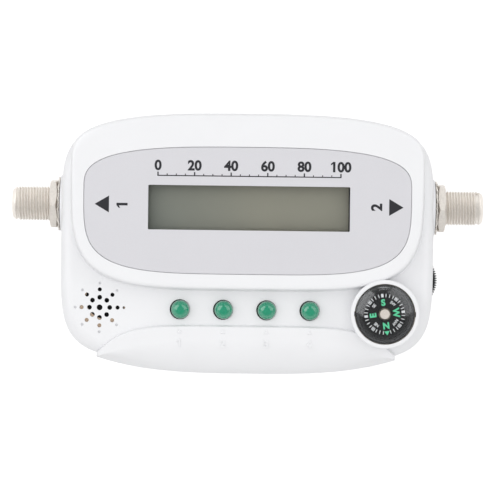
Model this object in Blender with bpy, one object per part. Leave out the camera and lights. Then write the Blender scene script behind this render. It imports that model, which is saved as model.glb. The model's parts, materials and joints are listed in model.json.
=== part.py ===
"""Handheld satellite signal meter with a display, four lamps, a compass and two coaxial ports.

Lengths are in metres. The meter lies on its back: +X runs towards the right-hand port, +Y towards
the top edge of the face and +Z out of the face. The origin is under the middle of the whole meter,
on the plane of its back.
"""

import math

import bmesh
import bpy
from mathutils import Matrix, Vector

MM = 0.001

# Clearances and cuts
SEAT_GAP = 0.3 * MM  # between two pieces that rest on each other
RUNNING_GAP = 0.5 * MM  # beside a piece that turns
OVERRUN = 1.5 * MM  # how far a cutter passes through a face

# Overall case
CASE_WIDTH = 103.4 * MM
CASE_LENGTH = 71.8 * MM  # top edge of the hood to the bottom edge of the lip
WALL = 2.0 * MM
PLATFORM_HEIGHT = 25.0 * MM  # face that carries the lamps and the sound holes

# Outline of the case at the seam
CASE_TOP_SETBACK = 1.3 * MM
CASE_BOTTOM_SETBACK = 3.5 * MM
CASE_TOP_REACH = 30.3 * MM  # from the top edge to where the case is widest
CASE_TOP_POWER = 5.0
CASE_BOTTOM_POWER = 5.8
OUTLINE_STEPS = 56
SHOULDER_INSET = 3.6 * MM  # sideways reach of the front shoulder rounding
SHOULDER_DROP = 3.6 * MM  # height that the shoulder rounding takes
BACK_INSET = 3.8 * MM
BACK_RISE = 3.4 * MM
# Pairs of (share of a rounding's inset, share of its height), from the wall to the flat
ROUNDING_SHARES = ((0.0, 0.0), (0.1, 0.4), (0.3, 0.72), (0.6, 0.93), (1.0, 1.0))
HOLLOW_SHARES = ((0.0, 0.0), (0.25, 0.7), (1.0, 1.0))

# Lip along the bottom edge
LIP_RISE = 1.6 * MM  # above the platform
LIP_TIP_SETBACK = 10.4 * MM  # from the side of the case to the lip's tip
LIP_LENGTH = 13.8 * MM
LIP_TIP_LENGTH = 5.7 * MM  # from the lip's bottom edge up to its tips
LIP_TIP_THICKNESS = 1.5 * MM
LIP_LEAST_THICKNESS = 0.4 * MM
LIP_SOLID_TIP = 14.0 * MM  # length of each tip that isn't hollow
LIP_EDGE_DROP = 3.2 * MM
LIP_EDGE_INSET = 2.6 * MM
LIP_STEP_INSET = 0.9 * MM
LIP_UNDERCUT = 4.2 * MM  # how far its wall draws in at the seam
LIP_TILT = 0.1  # fall of the lip's face for each unit towards its edge
LIP_STEPS = 18
LIP_TOP_POWER = 6.0
LIP_BOTTOM_POWER = 3.1

# Lamps
LAMP_COUNT = 4
LAMP_RADIUS = 2.5 * MM
LAMP_HEIGHT = 8.6 * MM
LAMP_FLANGE = 0.4 * MM  # how far the flange stands out
LAMP_FLANGE_HEIGHT = 1.0 * MM
LAMP_ABOVE_LIP = 3.95 * MM  # from the lip's upper edge to the lamps
LAMP_LEFT_SPACE = 15.4 * MM  # from the sound holes to the first lamp
LAMP_RIGHT_SPACE = 11.1 * MM  # from the last lamp to the compass rim
LAMP_STEPS = 12
LEAD_PITCH = 2.54 * MM
LEAD_THICKNESS = 0.5 * MM
LEAD_TAIL = 1.4 * MM

# Hood round the display
HOOD_RISE = 5.2 * MM  # above the platform
HOOD_SIDE_STEP = 3.0 * MM  # from the side of the case to the hood
HOOD_ABOVE_LAMPS = 5.25 * MM
HOOD_TOP_REACH = 13.4 * MM  # from the top edge to where the hood is widest
HOOD_TOP_POWER = 3.0
HOOD_BOTTOM_POWER = 4.5
HOOD_DRAFT = 0.4 * MM
HOOD_EDGE_DROP = 3.6 * MM  # height of the rounding below the hood's face
HOOD_EDGE_SHARES = ((0.0, 0.0), (0.06, 0.42), (0.2, 0.76), (0.45, 0.93), (1.0, 1.0))

# Label and its recess
LABEL_SIDE_BORDER = 3.95 * MM
LABEL_TOP_BORDER = 9.5 * MM
LABEL_BOTTOM_BORDER = 4.65 * MM
LABEL_TOP_REACH = 11.5 * MM  # from its top edge to where the label is widest
LABEL_TOP_POWER = 3.1
LABEL_BOTTOM_POWER = 4.2
LABEL_THICKNESS = 0.5 * MM
LABEL_MARGIN = 0.8 * MM  # from the label to where the hood's face starts to round off
LABEL_SINK = 0.2 * MM  # label's face below the hood's face

# Display
VIEW_WIDTH = 55.1 * MM
VIEW_LENGTH = 12.2 * MM
VIEW_RAISE = 0.725 * MM  # above the middle of the label
WINDOW_MARGIN = 1.1 * MM  # hidden edge of the clear window on each side
WINDOW_THICKNESS = 1.2 * MM
DISPLAY_FRAME_MARGIN = 4.2 * MM
DISPLAY_FRAME_LIP = 0.4 * MM
DISPLAY_FRAME_WALL = 1.0 * MM
DISPLAY_GLASS_THICKNESS = 2.0 * MM
BACKLIGHT_THICKNESS = 2.2 * MM
DISPLAY_BOARD_THICKNESS = 1.2 * MM
DISPLAY_BOARD_MARGIN = 1.0 * MM
HEADER_WIDTH = 36.0 * MM
HEADER_DEPTH = 2.5 * MM
HEADER_HEIGHT = 1.4 * MM

# Compass
COMPASS_SIDE_SPACE = 13.8 * MM  # from the side of the case to the compass axis
COMPASS_BOTTOM_SPACE = 13.7 * MM
COMPASS_RADIUS = 8.1 * MM
COMPASS_RIM_WALL = 1.0 * MM
COMPASS_RIM_LIP = 0.7 * MM  # how far the rim stands above the dome's band
COMPASS_RIM_EDGE = 0.35 * MM
COMPASS_SEAT_DROP = 0.9 * MM  # seat of the cup below the platform
COMPASS_SEAT_THICKNESS = 1.4 * MM
COMPASS_LEDGE = 1.7 * MM
COMPASS_CUP_WALL = 0.8 * MM
COMPASS_CUP_DEPTH = 4.8 * MM
COMPASS_STEPS = 32
DOME_BAND = 0.8 * MM
DOME_RISE = 3.1 * MM
DOME_WALL = 0.9 * MM
DOME_STEPS = 4
CARD_CLEARANCE = 0.7 * MM
CARD_THICKNESS = 0.5 * MM
CARD_DROP = 0.5 * MM  # card's face below the cup's rim
CARD_BORE = 0.9 * MM
CARD_STEPS = 24
CARD_TURN = math.radians(188)  # the card's north mark points down the face
CAP_RADIUS = 1.7 * MM
CAP_TOP_RADIUS = 1.3 * MM
CAP_HEIGHT = 1.1 * MM
CAP_STEPS = 16
# Shares of the cap's height where its bearing ends and its top step starts
CAP_BEARING_SHARE = 0.5
CAP_STEP_SHARE = 0.75
MAGNET_LENGTH = 8.0 * MM
MAGNET_WIDTH = 2.4 * MM
MAGNET_THICKNESS = 0.8 * MM
MAGNET_BORE = 0.7 * MM
PIVOT_RADIUS = 0.35 * MM
PIVOT_STEPS = 8

# Sound holes and buzzer
SOUND_SIDE_SPACE = 11.3 * MM  # from the side of the case to the middle hole
SOUND_BOTTOM_SPACE = 14.5 * MM
SOUND_ARMS = 8
SOUND_CENTRE_RADIUS = 0.8 * MM
SOUND_RINGS = ((2.78 * MM, 0.66 * MM), (4.95 * MM, 0.57 * MM), (6.7 * MM, 0.38 * MM))
SOUND_STEPS = 8
BUZZER_RADIUS = 5.7 * MM
BUZZER_SHIFT_X = 1.6 * MM
BUZZER_SHIFT_Y = 2.3 * MM
BUZZER_HOLE_RADIUS = 1.0 * MM
BUZZER_HOLE_DEPTH = 1.2 * MM
BUZZER_STEPS = 24

# Coaxial ports
PORT_REACH = 13.5 * MM  # from the pad to the tip
PORT_DROP = 3.1 * MM  # port's axis below the top of the shield
PORT_PAD_MARGIN = 0.55 * MM
PORT_PAD_PROUD = 0.3 * MM
THREAD_RADIUS = 4.76 * MM  # 3/8 inch, 32 turns to the inch
THREAD_DEPTH = 0.42 * MM
THREAD_PITCH = 0.794 * MM
THREAD_TURNS = 11
PORT_STEPS = 16
NOSE_LENGTH = 1.4 * MM
NOSE_TAPER = 0.96 * MM
NOSE_WALL = 0.9 * MM
FLANGE_MARGIN = 1.44 * MM
FLANGE_THICKNESS = 1.4 * MM
NUT_WALL = 1.59 * MM  # makes the nut 12.7 mm across its flats
NUT_THICKNESS = 2.0 * MM
NUT_CHAMFER = 0.5 * MM
WASHER_MARGIN = 1.1 * MM  # beyond the nut's flats
WASHER_THICKNESS = 0.4 * MM
WASHER_TEETH = 14
WASHER_TOOTH = 0.8 * MM
INSULATOR_RECESS = 0.6 * MM
INSULATOR_TAIL = 1.2 * MM  # how far it reaches behind the flange
INSULATOR_FRONT_WALL = 1.6 * MM  # plastic in front of the contact
INSULATOR_HOLE = 0.65 * MM
CONTACT_RADIUS = 1.1 * MM
CONTACT_BORE = 0.55 * MM
CONTACT_BORE_DEPTH = 7.0 * MM
CONTACT_TAIL_RADIUS = 0.4 * MM
CONTACT_TAIL_LENGTH = 4.0 * MM
INSULATOR_STEPS = 12

# Gain wheel and its potentiometer
WHEEL_RADIUS = 7.5 * MM
WHEEL_PROUD = 1.1 * MM  # how far the wheel stands out of the side
WHEEL_SPACE = 5.5 * MM  # from the shield to the wheel
WHEEL_THICKNESS = 2.6 * MM
WHEEL_TEETH = 36
WHEEL_TOOTH = 0.4 * MM
WHEEL_SLOT_STEPS = 48
POT_RADIUS = 3.6 * MM
POT_THICKNESS = 2.4 * MM
POT_BORE_DEPTH = 1.6 * MM
POT_STEPS = 24
POT_SHAFT_RADIUS = 1.6 * MM
POT_SHAFT_BORE = 0.9 * MM
WHEEL_SCREW_RADIUS = 2.4 * MM
WHEEL_SCREW_THICKNESS = 0.9 * MM
WHEEL_SCREW_SHANK = 0.6 * MM
WHEEL_SCREW_REACH = 2.2 * MM

# Boards and shield
BOARD_THICKNESS = 1.6 * MM
BOARD_SIDE_SPACE = 0.8 * MM  # from the ports' flanges
BOARD_TOP_SPACE = 5.1 * MM  # from the inside of the case
BOARD_BOTTOM_SPACE = 4.9 * MM
BOARD_CORNER = 5.0 * MM
BOARD_CLEARANCE = 0.5 * MM  # round the screw posts
TUNER_BOARD_THICKNESS = 1.6 * MM
SHIELD_HALF_DEPTH = 7.2 * MM
SHIELD_BELOW_PORT = 6.0 * MM
SHIELD_SHEET = 0.5 * MM
COVER_SHEET = 0.5 * MM

# Screws and their posts
UPPER_POST_SIDE_SPACE = 12.4 * MM  # from the side of the case
UPPER_POST_TOP_SPACE = 9.8 * MM  # from the top of the case
LOWER_POST_SPACE = 10.9 * MM  # from the compass axis
LOWER_POST_BOTTOM_SPACE = 7.2 * MM
POST_TO_SHIELD = 2.5 * MM
FRONT_POST_RADIUS = 3.2 * MM
REAR_POST_RADIUS = 4.4 * MM
POST_STEPS = 12
SCREW_RADIUS = 1.3 * MM
SCREW_HEAD_RADIUS = 2.6 * MM
SCREW_HEAD_HEIGHT = 1.5 * MM
SCREW_RECESS = 4.0 * MM  # depth of the hole that hides the head
SCREW_REACH = 7.0 * MM  # how far the screw enters the front shell
CROSS_WIDTH = 0.7 * MM
CROSS_DEPTH = 0.8 * MM
CROSS_LENGTH_SHARE = 0.6  # of a head's width
BOSS_RADIUS = 2.2 * MM
BOSS_TO_BUZZER = 2.9 * MM
BOSS_TO_POT = 8.6 * MM
BOARD_SCREW_RADIUS = 0.8 * MM
BOARD_SCREW_HEAD_RADIUS = 1.9 * MM
BOARD_SCREW_HEAD_HEIGHT = 1.1 * MM
BOARD_SCREW_REACH = 3.0 * MM
RIB_THICKNESS = 1.2 * MM
RIB_PITCH = 30.0 * MM
RIB_COUNT = 3

# Electronics: width, length and height
CONTROLLER = (12.0 * MM, 12.0 * MM, 1.0 * MM)
REGULATOR = (9.8 * MM, 6.6 * MM, 2.3 * MM)
CRYSTAL = (11.0 * MM, 4.6 * MM, 3.4 * MM)
TUNER_CHIP = (7.0 * MM, 7.0 * MM, 1.0 * MM)
TUNER_CHIP_X = 6.0 * MM
CAPACITOR_RADIUS = 3.15 * MM
CAPACITOR_LENGTH = 7.0 * MM
CAPACITOR_BEAD = 0.5 * MM
COIL_COUNT = 2
COIL_PITCH = 10.0 * MM
COIL_FIRST_X = -24.0 * MM
COIL_RADIUS = 1.8 * MM
COIL_HEIGHT = 2.4 * MM

# Blank label on the back
REAR_LABEL_WIDTH = 62.0 * MM
REAR_LABEL_LENGTH = 30.0 * MM
REAR_LABEL_THICKNESS = 0.3 * MM
REAR_LABEL_SINK = 0.2 * MM

# Edges and middles that follow from the sizes above, seen from the front
SIDE_X = CASE_WIDTH / 2
EDGE_Y = CASE_LENGTH / 2
CASE_TOP_Y = EDGE_Y - CASE_TOP_SETBACK
CASE_BOTTOM_Y = CASE_BOTTOM_SETBACK - EDGE_Y
CASE_WIDEST_Y = CASE_TOP_Y - CASE_TOP_REACH
LIP_HALF_WIDTH = SIDE_X - LIP_TIP_SETBACK
LIP_TOP_Y = LIP_LENGTH - EDGE_Y
LIP_TIP_Y = LIP_TIP_LENGTH - EDGE_Y
COMPASS_X = SIDE_X - COMPASS_SIDE_SPACE
COMPASS_Y = CASE_BOTTOM_Y + COMPASS_BOTTOM_SPACE
COMPASS_BORE = COMPASS_RADIUS + SEAT_GAP
COMPASS_RIM_RADIUS = COMPASS_BORE + COMPASS_RIM_WALL
SOUND_X = SOUND_SIDE_SPACE - SIDE_X
SOUND_Y = CASE_BOTTOM_Y + SOUND_BOTTOM_SPACE
BUZZER_X = SOUND_X + BUZZER_SHIFT_X
BUZZER_Y = SOUND_Y + BUZZER_SHIFT_Y
LAMP_ROW_Y = LIP_TOP_Y + LAMP_ABOVE_LIP
FIRST_LAMP_X = SOUND_X + SOUND_RINGS[-1][0] + LAMP_LEFT_SPACE
LAST_LAMP_X = COMPASS_X - COMPASS_RIM_RADIUS - LAMP_RIGHT_SPACE
LAMP_PITCH = (LAST_LAMP_X - FIRST_LAMP_X) / (LAMP_COUNT - 1)
LAMP_PLACES = tuple((FIRST_LAMP_X + index * LAMP_PITCH, LAMP_ROW_Y) for index in range(LAMP_COUNT))
LAMP_FLANGE_RADIUS = LAMP_RADIUS + LAMP_FLANGE
HOOD_HALF_WIDTH = SIDE_X - HOOD_SIDE_STEP
HOOD_WIDEST_Y = EDGE_Y - HOOD_TOP_REACH
HOOD_BOTTOM_Y = LAMP_ROW_Y + HOOD_ABOVE_LAMPS
LABEL_HALF_WIDTH = HOOD_HALF_WIDTH - LABEL_SIDE_BORDER
LABEL_TOP_Y = EDGE_Y - LABEL_TOP_BORDER
LABEL_BOTTOM_Y = HOOD_BOTTOM_Y + LABEL_BOTTOM_BORDER
LABEL_WIDEST_Y = LABEL_TOP_Y - LABEL_TOP_REACH
VIEW_Y = (LABEL_TOP_Y + LABEL_BOTTOM_Y) / 2 + VIEW_RAISE
UPPER_POST_X = SIDE_X - UPPER_POST_SIDE_SPACE
UPPER_POST_Y = CASE_TOP_Y - UPPER_POST_TOP_SPACE
LOWER_POST_X = COMPASS_X - LOWER_POST_SPACE
LOWER_POST_Y = CASE_BOTTOM_Y + LOWER_POST_BOTTOM_SPACE
POSTS = tuple(
    (side * x, y)
    for x, y in ((UPPER_POST_X, UPPER_POST_Y), (LOWER_POST_X, LOWER_POST_Y))
    for side in (-1, 1)
)
PORT_Y = UPPER_POST_Y - REAR_POST_RADIUS - POST_TO_SHIELD - SHIELD_HALF_DEPTH
SHIELD_LOW_Y = PORT_Y - SHIELD_HALF_DEPTH
WHEEL_X = SIDE_X + WHEEL_PROUD - WHEEL_RADIUS
WHEEL_Y = SHIELD_LOW_Y - WHEEL_SPACE - WHEEL_RADIUS
PART_ROW_Y = (SHIELD_LOW_Y + LAMP_ROW_Y) / 2  # row of parts between the shield and the lamps
BOSSES = (
    (BUZZER_X + BUZZER_RADIUS + BOSS_TO_BUZZER + BOSS_RADIUS, PART_ROW_Y),
    (WHEEL_X - POT_RADIUS - BOSS_TO_POT - BOSS_RADIUS, PART_ROW_Y),
)

# Heights that follow, from the front face back
HOOD_HEIGHT = PLATFORM_HEIGHT + HOOD_RISE
LIP_HEIGHT = PLATFORM_HEIGHT + LIP_RISE
PLATFORM_CEILING = PLATFORM_HEIGHT - WALL
LABEL_FACE = HOOD_HEIGHT - LABEL_SINK
LABEL_BACK = LABEL_FACE - LABEL_THICKNESS
RECESS_FLOOR = LABEL_BACK - SEAT_GAP
CEILING = RECESS_FLOOR - WINDOW_THICKNESS  # inside of the hood, level with the window's back
FRAME_TOP = CEILING - SEAT_GAP
GLASS_TOP = FRAME_TOP - DISPLAY_FRAME_LIP - SEAT_GAP
GLASS_BACK = GLASS_TOP - DISPLAY_GLASS_THICKNESS
BACKLIGHT_TOP = GLASS_BACK - SEAT_GAP
BACKLIGHT_BACK = BACKLIGHT_TOP - BACKLIGHT_THICKNESS
DISPLAY_BOARD_TOP = BACKLIGHT_BACK - SEAT_GAP
DISPLAY_BOARD_BACK = DISPLAY_BOARD_TOP - DISPLAY_BOARD_THICKNESS
HEADER_TOP = DISPLAY_BOARD_BACK - SEAT_GAP
LAMP_BASE = HEADER_TOP - HEADER_HEIGHT  # all parts on the front of the main board start here
BOARD_TOP = LAMP_BASE - SEAT_GAP
BOARD_BACK = BOARD_TOP - BOARD_THICKNESS
UNDER_BOARD = BOARD_BACK - SEAT_GAP
POT_BACK = UNDER_BOARD - POT_THICKNESS
WHEEL_TOP = POT_BACK - SEAT_GAP
WHEEL_BACK = WHEEL_TOP - WHEEL_THICKNESS
PORT_HEIGHT = UNDER_BOARD - PORT_DROP
SEAM_HEIGHT = PORT_HEIGHT  # the shells meet on the ports' axis
SEAM_TOP = SEAM_HEIGHT + SEAT_GAP / 2
SEAM_BOTTOM = SEAM_HEIGHT - SEAT_GAP / 2
SHIELD_BOTTOM = PORT_HEIGHT - SHIELD_BELOW_PORT
COMPASS_SEAT = PLATFORM_HEIGHT - COMPASS_SEAT_DROP
COMPASS_SEAT_BACK = COMPASS_SEAT - COMPASS_SEAT_THICKNESS
CUP_BACK = COMPASS_SEAT + SEAT_GAP
CUP_RIM = CUP_BACK + COMPASS_CUP_DEPTH
CUP_BORE = COMPASS_RADIUS - COMPASS_CUP_WALL
DOME_BACK = CUP_RIM + SEAT_GAP
DOME_EDGE = DOME_BACK + DOME_BAND
COMPASS_RIM_HEIGHT = DOME_EDGE + COMPASS_RIM_LIP
CARD_RADIUS = CUP_BORE - CARD_CLEARANCE
CARD_TOP = CUP_RIM - CARD_DROP
CARD_BACK = CARD_TOP - CARD_THICKNESS
BUZZER_TOP = PLATFORM_CEILING - SEAT_GAP
SCREW_HEAD_TOP = SCREW_RECESS - SEAT_GAP
PILOT_RADIUS = SCREW_RADIUS + SEAT_GAP
HEAD_HOLE_RADIUS = SCREW_HEAD_RADIUS + SEAT_GAP

# Distances along a port's axis, from the middle of the meter
PAD_FACE = SIDE_X + PORT_PAD_PROUD
PORT_TIP = PAD_FACE + PORT_REACH
FLANGE_SEAT = SIDE_X - WALL + SEAT_GAP / 2  # just into the wall, so that the seat is flat all round
FLANGE_FACE = FLANGE_SEAT - SEAT_GAP
FLANGE_BACK = FLANGE_FACE - FLANGE_THICKNESS
WASHER_BACK = PAD_FACE + SEAT_GAP
WASHER_FACE = WASHER_BACK + WASHER_THICKNESS
NUT_BACK = WASHER_FACE + SEAT_GAP
NUT_FACE = NUT_BACK + NUT_THICKNESS
INSULATOR_BACK = FLANGE_BACK - INSULATOR_TAIL
INSULATOR_FACE = PORT_TIP - INSULATOR_RECESS
CONTACT_FACE = INSULATOR_FACE - INSULATOR_FRONT_WALL
SHIELD_END = FLANGE_BACK - SEAT_GAP

# Radii round a port's axis
THREAD_HOLE = THREAD_RADIUS + SEAT_GAP
NUT_FLAT = THREAD_RADIUS + NUT_WALL
NUT_CORNER = NUT_FLAT * 2 / math.sqrt(3)
WASHER_RADIUS = NUT_FLAT + WASHER_MARGIN
PORT_PAD_RADIUS = WASHER_RADIUS + PORT_PAD_MARGIN
FLANGE_RADIUS = THREAD_RADIUS + FLANGE_MARGIN
NOSE_RADIUS = THREAD_RADIUS - NOSE_TAPER
PORT_BORE = NOSE_RADIUS - NOSE_WALL
INSULATOR_RADIUS = PORT_BORE - SEAT_GAP

# Boards
BOARD_HALF_WIDTH = FLANGE_BACK - BOARD_SIDE_SPACE
BOARD_TOP_Y = CASE_TOP_Y - WALL - BOARD_TOP_SPACE
BOARD_BOTTOM_Y = CASE_BOTTOM_Y + WALL + BOARD_BOTTOM_SPACE
TUNER_BOARD_TOP = PORT_HEIGHT - CONTACT_TAIL_RADIUS - SEAT_GAP
TUNER_BOARD_BACK = TUNER_BOARD_TOP - TUNER_BOARD_THICKNESS

# Blanks of the front shell start at unlike depths below the seam, so that no two faces coincide
CASE_ROOT = SEAM_HEIGHT - OVERRUN
HOOD_ROOT = CASE_ROOT - OVERRUN
LIP_ROOT = (CASE_ROOT + HOOD_ROOT) / 2
POST_ROOT = HOOD_ROOT - OVERRUN
PAD_ROOT = SEAM_HEIGHT - PORT_PAD_RADIUS - OVERRUN

# Finishes: base colour, roughness, metallic
FINISHES = {
    "white_case": ((0.88, 0.88, 0.90), 0.35, 0.0),
    "silver_label": ((0.66, 0.66, 0.70), 0.45, 0.0),
    "clear_plastic": ((0.85, 0.88, 0.86), 0.08, 0.0),
    "display_glass": ((0.27, 0.30, 0.27), 0.15, 0.0),
    "backlight_plastic": ((0.80, 0.84, 0.76), 0.50, 0.0),
    "black_plastic": ((0.02, 0.02, 0.022), 0.40, 0.0),
    "green_lamp": ((0.03, 0.42, 0.22), 0.20, 0.0),
    "nickel": ((0.72, 0.69, 0.65), 0.25, 1.0),
    "tinned_steel": ((0.62, 0.63, 0.64), 0.35, 1.0),
    "zinc_steel": ((0.55, 0.56, 0.58), 0.35, 1.0),
    "insulator": ((0.86, 0.86, 0.83), 0.45, 0.0),
    "tan_board": ((0.42, 0.31, 0.20), 0.60, 0.0),
    "green_board": ((0.03, 0.20, 0.08), 0.45, 0.0),
    "chip_black": ((0.03, 0.03, 0.03), 0.55, 0.0),
    "aluminium": ((0.70, 0.71, 0.72), 0.35, 1.0),
    "copper": ((0.72, 0.38, 0.20), 0.35, 1.0),
}


def clear_scene():
    """Remove whatever the file holds, so that only the meter is left."""
    for item in list(bpy.data.objects):
        bpy.data.objects.remove(item, do_unlink=True)


def finish(name):
    """Material with one of the finishes, made the first time that it is asked for."""
    found = bpy.data.materials.get(name)
    if found:
        return found
    colour, roughness, metallic = FINISHES[name]
    made = bpy.data.materials.new(name)
    made.use_nodes = True
    shader = made.node_tree.nodes["Principled BSDF"]
    shader.inputs["Base Color"].default_value = (*colour, 1.0)
    shader.inputs["Roughness"].default_value = roughness
    shader.inputs["Metallic"].default_value = metallic
    return made


def new_object(name, shape, surface=None, parent=None):
    """Turn a bmesh into a named object, with its faces pointing out."""
    bmesh.ops.recalc_face_normals(shape, faces=shape.faces)
    mesh = bpy.data.meshes.new(name)
    shape.to_mesh(mesh)
    shape.free()
    item = bpy.data.objects.new(name, mesh)
    bpy.context.scene.collection.objects.link(item)
    if surface:
        mesh.materials.append(finish(surface))
    if parent:
        item.parent = parent
    smooth(item)
    return item


def smooth(item, angle=math.radians(32)):
    """Shade round faces smooth and keep the real edges sharp."""
    item.data.shade_smooth()
    item.data.set_sharp_from_angle(angle=angle)


def new_axis(name, place, turn=0.0, about="Y"):
    """Empty that carries pieces which share an axis."""
    axis = bpy.data.objects.new(name, None)
    axis.location = place
    axis.rotation_euler = Matrix.Rotation(turn, 3, about).to_euler()
    bpy.context.scene.collection.objects.link(axis)
    return axis


def loft(rings):
    """Solid through a pile of closed rings that have equally many points."""
    shape = bmesh.new()
    piles = [[shape.verts.new(point) for point in ring] for ring in rings]
    for lower, upper in zip(piles, piles[1:]):
        for index in range(len(lower)):
            after = (index + 1) % len(lower)
            shape.faces.new((lower[index], lower[after], upper[after], upper[index]))
    shape.faces.new(piles[0])
    shape.faces.new(piles[-1])
    return shape


def level(outline, height):
    """Flat ring of an outline at a height."""
    return [Vector((x, y, height)) for x, y in outline]


def prism(outline, low, high):
    """Straight-sided solid of an outline between two heights."""
    return loft([level(outline, low), level(outline, high)])


def rectangle(x, y, width, length):
    """Outline of a rectangle about a middle point."""
    half_width, half_length = width / 2, length / 2
    return [
        (x - half_width, y - half_length),
        (x + half_width, y - half_length),
        (x + half_width, y + half_length),
        (x - half_width, y + half_length),
    ]


def circle(x, y, radius, steps):
    """Outline of a circle about a middle point."""
    turns = (math.tau * (step + 0.5) / steps for step in range(steps))
    return [(x + radius * math.cos(turn), y + radius * math.sin(turn)) for turn in turns]


def egg(half_width, widest_y, top_y, top_power, bottom_y, bottom_power, inset=0.0):
    """Outline of two half superellipses that meet on the line where they are widest."""
    points = []
    for step in range(OUTLINE_STEPS):
        turn = math.tau * step / OUTLINE_STEPS
        across, along = math.cos(turn), math.sin(turn)
        power = top_power if along >= 0 else bottom_power
        reach = top_y - widest_y if along >= 0 else widest_y - bottom_y
        x = math.copysign(abs(across) ** (2 / power), across) * (half_width - inset)
        y = math.copysign(abs(along) ** (2 / power), along) * (reach - inset)
        points.append((x, widest_y + y))
    return points


def case_outline(inset=0.0):
    """Outline of the case at the seam, drawn in by an inset."""
    return egg(
        SIDE_X,
        CASE_WIDEST_Y,
        CASE_TOP_Y,
        CASE_TOP_POWER,
        CASE_BOTTOM_Y,
        CASE_BOTTOM_POWER,
        inset,
    )


def hood_outline(inset=0.0):
    """Outline of the hood where it leaves the platform."""
    return egg(
        HOOD_HALF_WIDTH,
        HOOD_WIDEST_Y,
        EDGE_Y,
        HOOD_TOP_POWER,
        HOOD_BOTTOM_Y,
        HOOD_BOTTOM_POWER,
        inset,
    )


def label_outline(inset=0.0):
    """Outline of the label."""
    return egg(
        LABEL_HALF_WIDTH,
        LABEL_WIDEST_Y,
        LABEL_TOP_Y,
        LABEL_TOP_POWER,
        LABEL_BOTTOM_Y,
        LABEL_BOTTOM_POWER,
        inset,
    )


def lip_outline(top_inset, bottom_inset, tip_inset):
    """Lens-shaped outline of the lip, from its right tip over the top and back underneath."""
    half_width = LIP_HALF_WIDTH - tip_inset
    bottom_y = -EDGE_Y
    tip_bottom_y = LIP_TIP_Y - LIP_TIP_THICKNESS
    tip_limit = min(bottom_inset, LIP_TIP_THICKNESS - top_inset - LIP_LEAST_THICKNESS)
    upper, lower = [], []
    for step in range(LIP_STEPS + 1):
        x = half_width * math.cos(math.pi * step / LIP_STEPS)
        share = abs(x) / LIP_HALF_WIDTH
        top = LIP_TOP_Y - (LIP_TOP_Y - LIP_TIP_Y) * share**LIP_TOP_POWER - top_inset
        rise = (tip_bottom_y - bottom_y) * share**LIP_BOTTOM_POWER
        inset = bottom_inset + (tip_limit - bottom_inset) * share**LIP_BOTTOM_POWER
        upper.append((x, top))
        lower.append((x, bottom_y + rise + inset))
    return upper + lower[::-1]


def blend(outer, inner, share):
    """Outline part of the way from one outline to another with equally many points."""
    return [
        (a[0] + (b[0] - a[0]) * share, a[1] + (b[1] - a[1]) * share)
        for a, b in zip(outer, inner)
    ]


def turned(profile, steps):
    """Solid of revolution about Z of a profile of (radius, height) points, closed if it is off the axis."""
    shape = bmesh.new()
    points = [shape.verts.new((radius, 0.0, height)) for radius, height in profile]
    on_axis = profile[0][0] == 0.0 and profile[-1][0] == 0.0
    pairs = list(zip(points, points[1:])) if on_axis else list(zip(points, points[1:] + points[:1]))
    edges = [shape.edges.new(pair) for pair in pairs]
    bmesh.ops.spin(
        shape,
        geom=points + edges,
        cent=(0.0, 0.0, 0.0),
        axis=(0.0, 0.0, 1.0),
        angle=math.tau,
        steps=steps,
        use_merge=True,
    )
    bmesh.ops.remove_doubles(shape, verts=shape.verts, dist=SEAT_GAP / 1000)
    return shape


def rod(radius, low, high, steps, x=0.0, y=0.0):
    """Upright round rod."""
    return prism(circle(x, y, radius, steps), low, high)


def lying_rod(radius, start, end, steps, y, height):
    """Round rod along X."""
    shape = rod(radius, start, end, steps)
    bmesh.ops.rotate(shape, verts=shape.verts, matrix=Matrix.Rotation(math.pi / 2, 3, "Y"))
    bmesh.ops.translate(shape, verts=shape.verts, vec=(0.0, y, height))
    return shape


def gather(shapes):
    """One bmesh that holds several separate solids."""
    whole = bmesh.new()
    for shape in shapes:
        bmesh.ops.recalc_face_normals(shape, faces=shape.faces)
        mesh = bpy.data.meshes.new("gathered")
        shape.to_mesh(mesh)
        shape.free()
        whole.from_mesh(mesh)
        bpy.data.meshes.remove(mesh)
    return whole


def combine(item, shape, operation):
    """Join a solid to an object, cut it away or keep what both share."""
    tool = new_object(item.name + "_tool", shape, parent=item.parent)
    step = item.modifiers.new("combine", "BOOLEAN")
    step.operation = operation
    step.solver = "EXACT"
    step.object = tool
    graph = bpy.context.evaluated_depsgraph_get()
    made = bpy.data.meshes.new_from_object(item.evaluated_get(graph))
    old = item.data
    item.modifiers.clear()
    item.data = made
    made.name = item.name
    bpy.data.meshes.remove(old)
    tool_mesh = tool.data
    bpy.data.objects.remove(tool, do_unlink=True)
    bpy.data.meshes.remove(tool_mesh)


def case_pile(low, shrink=0.0, top=PLATFORM_HEIGHT, shares=ROUNDING_SHARES):
    """Rings of the front shell's main body, or of its hollow when shrunk by a wall."""
    rings = [level(case_outline(shrink), low)]
    for inset, rise in shares:
        height = top - SHOULDER_DROP * (1 - rise)
        rings.append(level(case_outline(shrink + SHOULDER_INSET * inset), height))
    return loft(rings)


def hood_pile(low, shrink=0.0, top=HOOD_HEIGHT, shares=HOOD_EDGE_SHARES):
    """Rings of the hood, which rolls over from its wall to its face."""
    wall = hood_outline(shrink + HOOD_DRAFT)
    crown = label_outline(shrink - LABEL_MARGIN)
    rings = [level(hood_outline(shrink), low)]
    for inset, rise in shares:
        rings.append(level(blend(wall, crown, inset), top - HOOD_EDGE_DROP * (1 - rise)))
    return loft(rings)


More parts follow.
